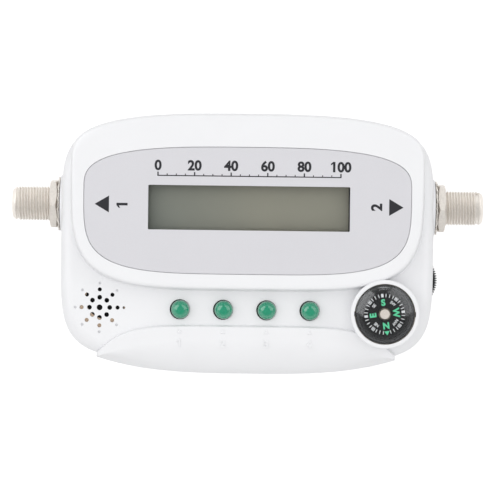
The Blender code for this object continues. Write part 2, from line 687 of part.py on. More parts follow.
def lip_pile(low, shrink=0.0, top=LIP_HEIGHT, tip_inset=0.0, shares=ROUNDING_SHARES):
    """Rings of the lip, whose face falls towards its edge."""
    foot = lip_outline(shrink + LIP_STEP_INSET, shrink + LIP_UNDERCUT, tip_inset)
    rings = [level(foot, low)]
    for inset, rise in shares:
        outline = lip_outline(
            shrink + LIP_STEP_INSET * inset,
            shrink + LIP_EDGE_INSET * inset,
            tip_inset + LIP_STEP_INSET * inset,
        )
        height = top - LIP_EDGE_DROP * (1 - rise)
        rings.append([Vector((x, y, height + (y - LIP_TOP_Y) * LIP_TILT)) for x, y in outline])
    return loft(rings)


def sound_holes():
    """Starburst of sound holes over the buzzer."""
    low, high = PLATFORM_CEILING - OVERRUN, PLATFORM_HEIGHT + OVERRUN
    holes = [rod(SOUND_CENTRE_RADIUS, low, high, SOUND_STEPS, SOUND_X, SOUND_Y)]
    for distance, radius in SOUND_RINGS:
        for arm in range(SOUND_ARMS):
            turn = math.tau * arm / SOUND_ARMS
            x = SOUND_X + distance * math.cos(turn)
            y = SOUND_Y + distance * math.sin(turn)
            holes.append(rod(radius, low, high, SOUND_STEPS, x, y))
    return gather(holes)


def port_cuts():
    """Holes for both ports and the flat seats of their flanges behind the wall."""
    cuts = []
    for side in (-1, 1):
        ends = sorted((side * (FLANGE_BACK - OVERRUN), side * (PAD_FACE + OVERRUN)))
        cuts.append(lying_rod(THREAD_HOLE, *ends, PORT_STEPS, PORT_Y, PORT_HEIGHT))
    return gather(cuts)


def flange_cuts():
    """Flat seats for the flanges behind both walls."""
    cuts = []
    for side in (-1, 1):
        ends = sorted((side * (FLANGE_BACK - OVERRUN), side * FLANGE_SEAT))
        seat = FLANGE_RADIUS + SEAT_GAP
        cuts.append(lying_rod(seat, *ends, PORT_STEPS, PORT_Y, PORT_HEIGHT))
    return gather(cuts)


def port_pads():
    """Round pads that give the port washers a flat seat."""
    pads = []
    for side in (-1, 1):
        ends = sorted((side * (FLANGE_SEAT - OVERRUN), side * PAD_FACE))
        pads.append(lying_rod(PORT_PAD_RADIUS, *ends, COMPASS_STEPS, PORT_Y, PORT_HEIGHT))
    return gather(pads)


def wheel_slot():
    """Round slot in the side for the gain wheel."""
    low, high = WHEEL_BACK - RUNNING_GAP, WHEEL_TOP + RUNNING_GAP
    return rod(WHEEL_RADIUS + RUNNING_GAP, low, high, WHEEL_SLOT_STEPS, WHEEL_X, WHEEL_Y)


def slab(low, high):
    """Wide block that takes away all that lies between two heights."""
    reach = 2 * (CASE_WIDTH + OVERRUN)
    return prism(rectangle(0.0, 0.0, reach, reach), low, high)


def front_cover():
    """Front shell with the hood, the lip, the compass rim and every opening of the face."""
    cover = new_object("front_cover", case_pile(CASE_ROOT), "white_case")
    combine(cover, hood_pile(HOOD_ROOT), "UNION")
    combine(cover, lip_pile(LIP_ROOT), "UNION")
    rim_low = PLATFORM_HEIGHT - SHOULDER_DROP
    rim = turned(
        (
            (0.0, rim_low),
            (COMPASS_RIM_RADIUS, rim_low),
            (COMPASS_RIM_RADIUS, COMPASS_RIM_HEIGHT - COMPASS_RIM_EDGE),
            (COMPASS_RIM_RADIUS - COMPASS_RIM_EDGE, COMPASS_RIM_HEIGHT),
            (0.0, COMPASS_RIM_HEIGHT),
        ),
        COMPASS_STEPS,
    )
    bmesh.ops.translate(rim, verts=rim.verts, vec=(COMPASS_X, COMPASS_Y, 0.0))
    combine(cover, rim, "UNION")
    combine(cover, port_pads(), "UNION")
    combine(cover, slab(PAD_ROOT, SEAM_TOP), "DIFFERENCE")

    hollow = new_object("front_hollow", case_pile(CASE_ROOT, WALL, PLATFORM_CEILING, HOLLOW_SHARES))
    combine(hollow, hood_pile(HOOD_ROOT, WALL, CEILING, HOLLOW_SHARES), "UNION")
    lip_hollow = lip_pile(LIP_ROOT, WALL, LIP_HEIGHT - WALL, LIP_SOLID_TIP, HOLLOW_SHARES)
    combine(hollow, lip_hollow, "UNION")
    seat = rod(COMPASS_RIM_RADIUS, COMPASS_SEAT_BACK, COMPASS_RIM_HEIGHT, COMPASS_STEPS)
    bmesh.ops.translate(seat, verts=seat.verts, vec=(COMPASS_X, COMPASS_Y, 0.0))
    combine(hollow, seat, "DIFFERENCE")
    solids = []
    for x, y in POSTS:
        solids.append(rod(FRONT_POST_RADIUS, POST_ROOT, HOOD_HEIGHT, POST_STEPS, x, y))
    for x, y in BOSSES:
        solids.append(rod(BOSS_RADIUS, BOARD_TOP + SEAT_GAP, HOOD_HEIGHT, POST_STEPS, x, y))
    combine(hollow, gather(solids), "DIFFERENCE")
    inside = bmesh.new()
    inside.from_mesh(hollow.data)
    bpy.data.objects.remove(hollow, do_unlink=True)
    combine(cover, inside, "DIFFERENCE")

    combine(cover, label_recess(), "DIFFERENCE")
    combine(cover, flange_cuts(), "DIFFERENCE")
    combine(cover, port_cuts(), "DIFFERENCE")
    combine(cover, wheel_slot(), "DIFFERENCE")
    combine(cover, face_cuts(), "DIFFERENCE")
    smooth(cover)
    return cover


def face_cuts():
    """Openings through the face: display, lamps, sound holes, compass, and the screw pilots behind it."""
    window = rectangle(
        0.0,
        VIEW_Y,
        VIEW_WIDTH + 2 * (WINDOW_MARGIN + SEAT_GAP),
        VIEW_LENGTH + 2 * (WINDOW_MARGIN + SEAT_GAP),
    )
    cuts = [prism(window, CEILING - OVERRUN, HOOD_HEIGHT + OVERRUN), sound_holes()]
    for x, y in LAMP_PLACES:
        hole = LAMP_RADIUS + SEAT_GAP
        low, high = PLATFORM_CEILING - OVERRUN, PLATFORM_HEIGHT + OVERRUN
        cuts.append(rod(hole, low, high, LAMP_STEPS, x, y))
    compass = turned(
        (
            (0.0, COMPASS_SEAT_BACK - OVERRUN),
            (COMPASS_RADIUS - COMPASS_LEDGE, COMPASS_SEAT_BACK - OVERRUN),
            (COMPASS_RADIUS - COMPASS_LEDGE, COMPASS_SEAT),
            (COMPASS_BORE, COMPASS_SEAT),
            (COMPASS_BORE, COMPASS_RIM_HEIGHT + OVERRUN),
            (0.0, COMPASS_RIM_HEIGHT + OVERRUN),
        ),
        COMPASS_STEPS,
    )
    bmesh.ops.translate(compass, verts=compass.verts, vec=(COMPASS_X, COMPASS_Y, 0.0))
    cuts.append(compass)
    for x, y in POSTS:
        high = SEAM_HEIGHT + SCREW_REACH + SEAT_GAP
        cuts.append(rod(PILOT_RADIUS, SEAM_HEIGHT - OVERRUN, high, POST_STEPS, x, y))
    for x, y in BOSSES:
        pilot = BOARD_SCREW_RADIUS + SEAT_GAP
        high = BOARD_TOP + BOARD_SCREW_REACH + SEAT_GAP
        cuts.append(rod(pilot, BOARD_TOP - OVERRUN, high, POST_STEPS, x, y))
    return gather(cuts)


def label_recess():
    """Shallow recess that the label lies in."""
    return prism(label_outline(-SEAT_GAP), RECESS_FLOOR, HOOD_HEIGHT + OVERRUN)


def rear_cover():
    """Rear shell with its screw tubes and the ribs under the shield."""
    rings = [level(case_outline(BACK_INSET), 0.0)]
    for inset, rise in reversed(ROUNDING_SHARES[:-1]):
        rings.append(level(case_outline(BACK_INSET * inset), BACK_RISE * (1 - rise)))
    rings.append(level(case_outline(), SEAM_HEIGHT + OVERRUN))
    cover = new_object("rear_cover", loft(rings), "white_case")
    combine(cover, port_pads(), "UNION")
    combine(cover, slab(SEAM_BOTTOM, SEAM_HEIGHT + PORT_PAD_RADIUS + OVERRUN), "DIFFERENCE")

    floor = [level(case_outline(WALL + BACK_INSET), WALL)]
    for inset, rise in reversed(HOLLOW_SHARES[:-1]):
        floor.append(level(case_outline(WALL + BACK_INSET * inset), WALL + BACK_RISE * (1 - rise)))
    floor.append(level(case_outline(WALL), SEAM_HEIGHT + OVERRUN))
    hollow = new_object("rear_hollow", loft(floor))
    solids = [
        rod(REAR_POST_RADIUS, WALL - OVERRUN, HOOD_HEIGHT, POST_STEPS, x, y)
        for x, y in POSTS
    ]
    rib_top = SHIELD_BOTTOM - COVER_SHEET - 2 * SEAT_GAP
    for index in range(RIB_COUNT):
        x = (index - (RIB_COUNT - 1) / 2) * RIB_PITCH
        outline = rectangle(x, PORT_Y, RIB_THICKNESS, 2 * SHIELD_HALF_DEPTH)
        solids.append(prism(outline, WALL - OVERRUN, rib_top))
    combine(hollow, gather(solids), "DIFFERENCE")
    inside = bmesh.new()
    inside.from_mesh(hollow.data)
    bpy.data.objects.remove(hollow, do_unlink=True)
    combine(cover, inside, "DIFFERENCE")

    tubes = []
    for x, y in POSTS:
        tube = turned(
            (
                (0.0, -OVERRUN),
                (HEAD_HOLE_RADIUS, -OVERRUN),
                (HEAD_HOLE_RADIUS, SCREW_RECESS),
                (PILOT_RADIUS, SCREW_RECESS),
                (PILOT_RADIUS, SEAM_HEIGHT + OVERRUN),
                (0.0, SEAM_HEIGHT + OVERRUN),
            ),
            POST_STEPS,
        )
        bmesh.ops.translate(tube, verts=tube.verts, vec=(x, y, 0.0))
        tubes.append(tube)
    recess = rectangle(
        0.0,
        0.0,
        REAR_LABEL_WIDTH + 2 * SEAT_GAP,
        REAR_LABEL_LENGTH + 2 * SEAT_GAP,
    )
    recess_top = REAR_LABEL_SINK + REAR_LABEL_THICKNESS + SEAT_GAP
    tubes.append(prism(recess, -OVERRUN, recess_top))
    combine(cover, gather(tubes), "DIFFERENCE")
    combine(cover, flange_cuts(), "DIFFERENCE")
    combine(cover, port_cuts(), "DIFFERENCE")
    combine(cover, wheel_slot(), "DIFFERENCE")
    smooth(cover)
    return cover


def face_label():
    """Printed label with the opening that the display is read through."""
    label = new_object("face_label", prism(label_outline(), LABEL_BACK, LABEL_FACE), "silver_label")
    view = prism(
        rectangle(0.0, VIEW_Y, VIEW_WIDTH, VIEW_LENGTH),
        LABEL_BACK - OVERRUN,
        LABEL_FACE + OVERRUN,
    )
    combine(label, view, "DIFFERENCE")
    return label


def display():
    """Clear window, liquid-crystal glass, backlight, frame and board of the display."""
    width = VIEW_WIDTH + 2 * WINDOW_MARGIN
    length = VIEW_LENGTH + 2 * WINDOW_MARGIN
    outline = rectangle(0.0, VIEW_Y, width, length)
    new_object("display_window", prism(outline, CEILING, RECESS_FLOOR), "clear_plastic")

    outer_width = VIEW_WIDTH + 2 * DISPLAY_FRAME_MARGIN
    outer_length = VIEW_LENGTH + 2 * DISPLAY_FRAME_MARGIN
    outline = rectangle(0.0, VIEW_Y, outer_width, outer_length)
    frame = new_object("display_frame", prism(outline, BACKLIGHT_BACK, FRAME_TOP), "black_plastic")
    pocket_width = outer_width - 2 * DISPLAY_FRAME_WALL
    pocket_length = outer_length - 2 * DISPLAY_FRAME_WALL
    pocket = rectangle(0.0, VIEW_Y, pocket_width, pocket_length)
    combine(frame, prism(pocket, BACKLIGHT_BACK - OVERRUN, FRAME_TOP - DISPLAY_FRAME_LIP), "DIFFERENCE")
    view = rectangle(0.0, VIEW_Y, VIEW_WIDTH + SEAT_GAP, VIEW_LENGTH + SEAT_GAP)
    combine(frame, prism(view, GLASS_TOP - OVERRUN, FRAME_TOP + OVERRUN), "DIFFERENCE")

    panel = rectangle(0.0, VIEW_Y, pocket_width - 2 * SEAT_GAP, pocket_length - 2 * SEAT_GAP)
    new_object("display_glass", prism(panel, GLASS_BACK, GLASS_TOP), "display_glass")
    new_object("display_backlight", prism(panel, BACKLIGHT_BACK, BACKLIGHT_TOP), "backlight_plastic")

    board_width = outer_width + 2 * DISPLAY_BOARD_MARGIN
    board_length = outer_length + 2 * DISPLAY_BOARD_MARGIN
    board = rectangle(0.0, VIEW_Y, board_width, board_length)
    new_object("display_board", prism(board, DISPLAY_BOARD_BACK, DISPLAY_BOARD_TOP), "green_board")
    header_y = VIEW_Y + (board_length - HEADER_DEPTH) / 2
    header = rectangle(0.0, header_y, HEADER_WIDTH, HEADER_DEPTH)
    new_object("display_header", prism(header, LAMP_BASE, HEADER_TOP), "black_plastic")


def board_outline():
    """Outline of the main board, cut away round the screw posts."""
    reach = FRONT_POST_RADIUS + BOARD_CLEARANCE
    notch_y = LOWER_POST_Y + reach
    shoulder_x = UPPER_POST_X - reach
    shoulder_y = UPPER_POST_Y - reach
    right = [
        (LOWER_POST_X - reach, BOARD_BOTTOM_Y),
        (LOWER_POST_X - reach, notch_y),
        (LOWER_POST_X + reach, notch_y),
        (LOWER_POST_X + reach, BOARD_BOTTOM_Y),
        (BOARD_HALF_WIDTH - BOARD_CORNER, BOARD_BOTTOM_Y),
        (BOARD_HALF_WIDTH, BOARD_BOTTOM_Y + BOARD_CORNER),
        (BOARD_HALF_WIDTH, shoulder_y),
        (shoulder_x, shoulder_y),
        (shoulder_x, BOARD_TOP_Y),
    ]
    return right + [(-x, y) for x, y in reversed(right)]


def lead_places():
    """Middle of each lamp lead."""
    return [(x + side * LEAD_PITCH / 2, y) for x, y in LAMP_PLACES for side in (-1, 1)]


def main_board():
    """Main board with its screw holes and the holes for the lamp leads."""
    board = new_object("main_board", prism(board_outline(), BOARD_BACK, BOARD_TOP), "tan_board")
    low, high = BOARD_BACK - OVERRUN, BOARD_TOP + OVERRUN
    holes = [
        rod(BOARD_SCREW_RADIUS + SEAT_GAP, low, high, POST_STEPS, x, y) for x, y in BOSSES
    ]
    size = LEAD_THICKNESS + 2 * SEAT_GAP
    holes += [prism(rectangle(x, y, size, size), low, high) for x, y in lead_places()]
    combine(board, gather(holes), "DIFFERENCE")
    return board


def lamps():
    """Four lamps, each with its two leads moulded in."""
    dome_centre = LAMP_BASE + LAMP_HEIGHT - LAMP_RADIUS
    arc_steps = LAMP_STEPS // 4
    arc = []
    for step in range(arc_steps + 1):
        turn = math.pi / 2 * step / arc_steps
        radius = LAMP_RADIUS * math.cos(turn) if step < arc_steps else 0.0
        arc.append((radius, dome_centre + LAMP_RADIUS * math.sin(turn)))
    profile = [
        (0.0, LAMP_BASE),
        (LAMP_FLANGE_RADIUS, LAMP_BASE),
        (LAMP_FLANGE_RADIUS, LAMP_BASE + LAMP_FLANGE_HEIGHT),
        (LAMP_RADIUS, LAMP_BASE + LAMP_FLANGE_HEIGHT),
        *arc,
    ]
    for index, (x, y) in enumerate(LAMP_PLACES, start=1):
        lamp = new_object(f"lamp_{index}", turned(profile, LAMP_STEPS), "green_lamp")
        leads = [
            prism(
                rectangle(side * LEAD_PITCH / 2, 0.0, LEAD_THICKNESS, LEAD_THICKNESS),
                BOARD_BACK - LEAD_TAIL,
                LAMP_BASE + LAMP_FLANGE_HEIGHT / 2,
            )
            for side in (-1, 1)
        ]
        combine(lamp, gather(leads), "UNION")
        smooth(lamp)
        lamp.location = (x, y, 0.0)


def buzzer():
    """Round buzzer on the main board, right behind the sound holes."""
    profile = (
        (0.0, LAMP_BASE),
        (BUZZER_RADIUS, LAMP_BASE),
        (BUZZER_RADIUS, BUZZER_TOP),
        (BUZZER_HOLE_RADIUS, BUZZER_TOP),
        (BUZZER_HOLE_RADIUS, BUZZER_TOP - BUZZER_HOLE_DEPTH),
        (0.0, BUZZER_TOP - BUZZER_HOLE_DEPTH),
    )
    item = new_object("buzzer", turned(profile, BUZZER_STEPS), "black_plastic")
    item.location = (BUZZER_X, BUZZER_Y, 0.0)


def dome_arc(centre, radius, edge, steps):
    """Points of a dome from its edge radius up to the axis."""
    start = math.asin(edge / radius)
    points = []
    for step in range(steps):
        turn = start * (1 - step / steps)
        points.append((radius * math.sin(turn), centre + radius * math.cos(turn)))
    points.append((0.0, centre + radius))
    return points


def compass():
    """Compass capsule: cup, pivot, swinging card with its magnet and cap, and the clear dome."""
    axis = new_axis("compass_axis", (COMPASS_X, COMPASS_Y, 0.0))
    floor = CUP_BACK + COMPASS_CUP_WALL
    cup = (
        (0.0, CUP_BACK),
        (COMPASS_RADIUS, CUP_BACK),
        (COMPASS_RADIUS, CUP_RIM),
        (CUP_BORE, CUP_RIM),
        (CUP_BORE, floor),
        (0.0, floor),
    )
    new_object("compass_cup", turned(cup, COMPASS_STEPS), "black_plastic", axis)

    outer_radius = (COMPASS_RADIUS**2 + DOME_RISE**2) / (2 * DOME_RISE)
    centre = DOME_EDGE + DOME_RISE - outer_radius
    inner_radius = outer_radius - DOME_WALL
    inner_edge = math.sqrt(inner_radius**2 - (DOME_BACK - centre) ** 2)
    inner_edge = min(inner_edge, COMPASS_RADIUS - DOME_WALL)
    outer_arc = dome_arc(centre, outer_radius, COMPASS_RADIUS, DOME_STEPS)
    inner_arc = dome_arc(centre, inner_radius, inner_edge, DOME_STEPS)
    dome = [*reversed(inner_arc), (inner_edge, DOME_BACK), (COMPASS_RADIUS, DOME_BACK), *outer_arc]
    new_object("compass_dome", turned(dome, COMPASS_STEPS), "clear_plastic", axis)

    card = (
        (CARD_BORE, CARD_BACK),
        (CARD_RADIUS, CARD_BACK),
        (CARD_RADIUS, CARD_TOP),
        (CARD_BORE, CARD_TOP),
    )
    swing = new_axis("compass_card_axis", (COMPASS_X, COMPASS_Y, 0.0), CARD_TURN, "Z")
    new_object("compass_card", turned(card, CARD_STEPS), "black_plastic", swing)
    cap_base = CARD_TOP + SEAT_GAP
    roof = cap_base + CAP_HEIGHT
    bearing = PIVOT_RADIUS + SEAT_GAP
    bearing_top = cap_base + CAP_HEIGHT * CAP_BEARING_SHARE
    cap = (
        (0.0, bearing_top),
        (bearing, bearing_top),
        (bearing, cap_base),
        (CAP_RADIUS, cap_base),
        (CAP_RADIUS, bearing_top),
        (CAP_TOP_RADIUS, cap_base + CAP_HEIGHT * CAP_STEP_SHARE),
        (CAP_TOP_RADIUS, roof),
        (0.0, roof),
    )
    new_object("compass_cap", turned(cap, CAP_STEPS), "nickel", swing)
    magnet_top = CARD_BACK - SEAT_GAP
    magnet_back = magnet_top - MAGNET_THICKNESS
    bar = rectangle(0.0, 0.0, MAGNET_WIDTH, MAGNET_LENGTH)
    magnet = new_object("compass_magnet", prism(bar, magnet_back, magnet_top), "tinned_steel", swing)
    bore = rod(MAGNET_BORE, magnet_back - OVERRUN, magnet_top + OVERRUN, PIVOT_STEPS)
    combine(magnet, bore, "DIFFERENCE")
    pivot = rod(PIVOT_RADIUS, floor + SEAT_GAP, bearing_top - SEAT_GAP, PIVOT_STEPS)
    new_object("compass_pivot", pivot, "nickel", axis)


def port_body(name, parent):
    """Threaded barrel of a coaxial port, turned about the port's axis."""
    root = THREAD_RADIUS - THREAD_DEPTH
    nose_start = PORT_TIP - NOSE_LENGTH
    profile = [
        (PORT_BORE, FLANGE_BACK),
        (FLANGE_RADIUS, FLANGE_BACK),
        (FLANGE_RADIUS, FLANGE_FACE),
        (THREAD_RADIUS, FLANGE_FACE),
    ]
    first = nose_start - THREAD_TURNS * THREAD_PITCH
    for turn in range(THREAD_TURNS):
        crest = first + turn * THREAD_PITCH
        profile.append((THREAD_RADIUS, crest))
        profile.append((root, crest + THREAD_PITCH / 2))
    profile += [
        (THREAD_RADIUS, nose_start),
        (NOSE_RADIUS, PORT_TIP),
        (PORT_BORE, PORT_TIP),
    ]
    new_object(name, turned(profile, PORT_STEPS), "nickel", parent)


def port_nut(name, parent):
    """Hexagon nut with its corners chamfered on both faces."""
    blank = prism(circle(0.0, 0.0, NUT_CORNER, 6), NUT_BACK - OVERRUN, NUT_FACE + OVERRUN)
    turn = Matrix.Rotation(math.pi / 6, 3, "Z")  # one corner points out of the face
    bmesh.ops.rotate(blank, verts=blank.verts, matrix=turn)
    nut = new_object(name, blank, "nickel", parent)
    reach = NUT_CORNER + SEAT_GAP
    fall = NUT_CHAMFER * (reach - NUT_FLAT) / (NUT_CORNER - NUT_FLAT)
    barrel = (
        (THREAD_HOLE, NUT_BACK),
        (NUT_FLAT, NUT_BACK),
        (reach, NUT_BACK + fall),
        (reach, NUT_FACE - fall),
        (NUT_FLAT, NUT_FACE),
        (THREAD_HOLE, NUT_FACE),
    )
    combine(nut, turned(barrel, COMPASS_STEPS), "INTERSECT")
    smooth(nut)
    return nut


def toothed(radius, root, teeth):
    """Outline of a toothed disc, with a flat top and a flat root to each tooth."""
    points = []
    for tooth in range(teeth):
        for quarter in range(4):
            reach = radius if quarter < 2 else root
            turn = math.tau * (tooth + quarter / 4) / teeth
            points.append((reach * math.cos(turn), reach * math.sin(turn)))
    return points


def port_washer(name, parent):
    """Lock washer with teeth round its rim."""
    star = toothed(WASHER_RADIUS, WASHER_RADIUS - WASHER_TOOTH, WASHER_TEETH)
    washer = new_object(name, prism(star, WASHER_BACK, WASHER_FACE), "nickel", parent)
    hole = rod(THREAD_HOLE, WASHER_BACK - OVERRUN, WASHER_FACE + OVERRUN, PORT_STEPS)
    combine(washer, hole, "DIFFERENCE")
    return washer


def port(side, name):
    """One coaxial port with its nut, washer, insulator and centre contact."""
    axis = new_axis(f"{name}_axis", (0.0, PORT_Y, PORT_HEIGHT), side * math.pi / 2)
    port_body(f"{name}_body", axis)
    port_nut(f"{name}_nut", axis)
    port_washer(f"{name}_washer", axis)
    socket = CONTACT_RADIUS + SEAT_GAP
    insulator = (
        (socket, INSULATOR_BACK),
        (INSULATOR_RADIUS, INSULATOR_BACK),
        (INSULATOR_RADIUS, INSULATOR_FACE),
        (INSULATOR_HOLE, INSULATOR_FACE),
        (INSULATOR_HOLE, CONTACT_FACE + SEAT_GAP),
        (socket, CONTACT_FACE + SEAT_GAP),
    )
    new_object(f"{name}_insulator", turned(insulator, INSULATOR_STEPS), "insulator", axis)
    contact = (
        (0.0, INSULATOR_BACK - CONTACT_TAIL_LENGTH),
        (CONTACT_TAIL_RADIUS, INSULATOR_BACK - CONTACT_TAIL_LENGTH),
        (CONTACT_TAIL_RADIUS, INSULATOR_BACK),
        (CONTACT_RADIUS, INSULATOR_BACK),
        (CONTACT_RADIUS, CONTACT_FACE),
        (CONTACT_BORE, CONTACT_FACE),
        (CONTACT_BORE, CONTACT_FACE - CONTACT_BORE_DEPTH),
        (0.0, CONTACT_FACE - CONTACT_BORE_DEPTH),
    )
    new_object(f"{name}_contact", turned(contact, PIVOT_STEPS), "nickel", axis)


def gain_control():
    """Knurled gain wheel with its shaft and screw, and the potentiometer that it turns."""
    axis = new_axis("gain_wheel_axis", (WHEEL_X, WHEEL_Y, 0.0))
    knurl = toothed(WHEEL_RADIUS, WHEEL_RADIUS - WHEEL_TOOTH, WHEEL_TEETH)
    wheel = new_object("gain_wheel", prism(knurl, WHEEL_BACK, WHEEL_TOP), "black_plastic", axis)
    bore = POT_SHAFT_RADIUS + SEAT_GAP
    hole = rod(bore, WHEEL_BACK - OVERRUN, WHEEL_TOP + OVERRUN, POST_STEPS)
    combine(wheel, hole, "DIFFERENCE")
    body = (
        (0.0, POT_BACK + POT_BORE_DEPTH),
        (bore, POT_BACK + POT_BORE_DEPTH),
        (bore, POT_BACK),
        (POT_RADIUS, POT_BACK),
        (POT_RADIUS, UNDER_BOARD),
        (0.0, UNDER_BOARD),
    )
    new_object("pot_body", turned(body, POT_STEPS), "black_plastic", axis)
    shaft_top = POT_BACK + POT_BORE_DEPTH - SEAT_GAP
    hole_top = WHEEL_BACK + WHEEL_SCREW_REACH + SEAT_GAP
    shaft = (
        (0.0, hole_top),
        (POT_SHAFT_BORE, hole_top),
        (POT_SHAFT_BORE, WHEEL_BACK),
        (POT_SHAFT_RADIUS, WHEEL_BACK),
        (POT_SHAFT_RADIUS, shaft_top),
        (0.0, shaft_top),
    )
    new_object("pot_shaft", turned(shaft, POST_STEPS), "insulator", axis)
    head_top = WHEEL_BACK - SEAT_GAP
    screw = (
        (0.0, head_top - WHEEL_SCREW_THICKNESS),
        (WHEEL_SCREW_RADIUS, head_top - WHEEL_SCREW_THICKNESS),
        (WHEEL_SCREW_RADIUS, head_top),
        (WHEEL_SCREW_SHANK, head_top),
        (WHEEL_SCREW_SHANK, WHEEL_BACK + WHEEL_SCREW_REACH),
        (0.0, WHEEL_BACK + WHEEL_SCREW_REACH),
    )
    new_object("wheel_screw", turned(screw, POST_STEPS), "zinc_steel", axis)


def block(size, x, y, low):
    """Box of a width, length and height, standing on a height."""
    width, length, height = size
    return prism(rectangle(x, y, width, length), low, low + height)


def tuner():
    """Shield between the ports, with its cover and the small board inside."""
    outer = rectangle(0.0, PORT_Y, 2 * SHIELD_END, 2 * SHIELD_HALF_DEPTH)
    shield = new_object("tuner_shield", prism(outer, SHIELD_BOTTOM, UNDER_BOARD), "tinned_steel")
    inner_half = SHIELD_END - SHIELD_SHEET
    inner_depth = SHIELD_HALF_DEPTH - SHIELD_SHEET
    inner = rectangle(0.0, PORT_Y, 2 * inner_half, 2 * inner_depth)
    hollow = prism(inner, SHIELD_BOTTOM - OVERRUN, UNDER_BOARD - SHIELD_SHEET)
    combine(shield, hollow, "DIFFERENCE")
    hole = INSULATOR_RADIUS + SEAT_GAP
    reach = SHIELD_END + OVERRUN
    combine(shield, lying_rod(hole, -reach, reach, INSULATOR_STEPS, PORT_Y, PORT_HEIGHT), "DIFFERENCE")

    top = SHIELD_BOTTOM - SEAT_GAP
    new_object("tuner_cover", prism(outer, top - COVER_SHEET, top), "tinned_steel")
    board_half = INSULATOR_BACK - SEAT_GAP
    outline = rectangle(0.0, PORT_Y, 2 * board_half, 2 * (inner_depth - SEAT_GAP))
    new_object("tuner_board", prism(outline, TUNER_BOARD_BACK, TUNER_BOARD_TOP), "green_board")
    base = TUNER_BOARD_TOP + SEAT_GAP
    new_object("tuner_chip", block(TUNER_CHIP, TUNER_CHIP_X, PORT_Y, base), "chip_black")
    for index in range(COIL_COUNT):
        coil = rod(COIL_RADIUS, base, base + COIL_HEIGHT, POST_STEPS)
        item = new_object(f"tuner_coil_{index + 1}", coil, "copper")
        item.location = (COIL_FIRST_X + index * COIL_PITCH, PORT_Y, 0.0)


def board_parts():
    """Parts soldered to the main board: the controller in front, and a row behind it."""
    controller = block(CONTROLLER, 0.0, VIEW_Y, LAMP_BASE)
    new_object("controller_chip", controller, "chip_black")
    can = (
        (0.0, UNDER_BOARD - CAPACITOR_LENGTH),
        (CAPACITOR_RADIUS - CAPACITOR_BEAD, UNDER_BOARD - CAPACITOR_LENGTH),
        (CAPACITOR_RADIUS, UNDER_BOARD - CAPACITOR_LENGTH + CAPACITOR_BEAD),
        (CAPACITOR_RADIUS, UNDER_BOARD),
        (0.0, UNDER_BOARD),
    )
    row = (
        ("capacitor_1", "aluminium", 2 * CAPACITOR_RADIUS),
        ("capacitor_2", "aluminium", 2 * CAPACITOR_RADIUS),
        ("crystal", "tinned_steel", CRYSTAL[0]),
        ("regulator", "chip_black", REGULATOR[0]),
    )
    boxes = {"crystal": CRYSTAL, "regulator": REGULATOR}
    start = BOSSES[0][0] + BOARD_SCREW_HEAD_RADIUS
    room = BOSSES[1][0] - BOARD_SCREW_HEAD_RADIUS - start
    space = (room - sum(width for _, _, width in row)) / (len(row) + 1)
    for name, surface, width in row:
        x = start + space + width / 2
        start += space + width
        if name in boxes:
            box = boxes[name]
            new_object(name, block(box, x, PART_ROW_Y, UNDER_BOARD - box[2]), surface)
        else:
            item = new_object(name, turned(can, POST_STEPS), surface)
            item.location = (x, PART_ROW_Y, 0.0)


def cross_head(radius, seat, thickness):
    """Cross-shaped recess in the underside of a screw head."""
    low, high = seat - thickness - OVERRUN, seat - thickness + CROSS_DEPTH
    half, arm = CROSS_WIDTH / 2, CROSS_LENGTH_SHARE * radius
    outline = [
        (half, -arm),
        (half, -half),
        (arm, -half),
        (arm, half),
        (half, half),
        (half, arm),
        (-half, arm),
        (-half, half),
        (-arm, half),
        (-arm, -half),
        (-half, -half),
        (-half, -arm),
    ]
    return prism(outline, low, high)


def screws(name, places, radius, head_radius, head_height, seat, reach):
    """Like screws that are driven from below, one for each place."""
    low = seat - head_height
    shoulder = head_radius - head_height / 2
    profile = (
        (0.0, low),
        (shoulder, low),
        (head_radius, low + head_height / 2),
        (head_radius, seat),
        (radius, seat),
        (radius, reach - radius),
        (0.0, reach),
    )
    for index, (x, y) in enumerate(places, start=1):
        item = new_object(f"{name}_{index}", turned(profile, POST_STEPS), "zinc_steel")
        combine(item, cross_head(head_radius, seat, head_height), "DIFFERENCE")
        smooth(item)
        item.location = (x, y, 0.0)


def rear_label():
    """Blank label in its recess on the back."""
    outline = rectangle(0.0, 0.0, REAR_LABEL_WIDTH, REAR_LABEL_LENGTH)
    top = REAR_LABEL_SINK + REAR_LABEL_THICKNESS
    new_object("rear_label", prism(outline, REAR_LABEL_SINK, top), "silver_label")


def main():
    """Model the whole meter."""
    clear_scene()
    front_cover()
    rear_cover()
    face_label()
    display()
    main_board()
    lamps()
    buzzer()
    compass()
    port(-1, "port_left")
    port(1, "port_right")
    gain_control()
    tuner()
    board_parts()
    screws(
        "cover_screw",
        POSTS,
        SCREW_RADIUS,
        SCREW_HEAD_RADIUS,
        SCREW_HEAD_HEIGHT,
        SCREW_HEAD_TOP,
        SEAM_HEIGHT + SCREW_REACH,
    )
    screws(
        "board_screw",
        BOSSES,
        BOARD_SCREW_RADIUS,
        BOARD_SCREW_HEAD_RADIUS,
        BOARD_SCREW_HEAD_HEIGHT,
        UNDER_BOARD,
        BOARD_TOP + BOARD_SCREW_REACH,
    )
    rear_label()


main()
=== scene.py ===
"""Dresses the solid frame of a satellite signal meter with moulded, printed and metal pieces."""

import json
import math
from types import SimpleNamespace

import bmesh
import bpy
from bpy.props import FloatProperty, FloatVectorProperty, IntProperty, PointerProperty
from mathutils import Matrix, Vector


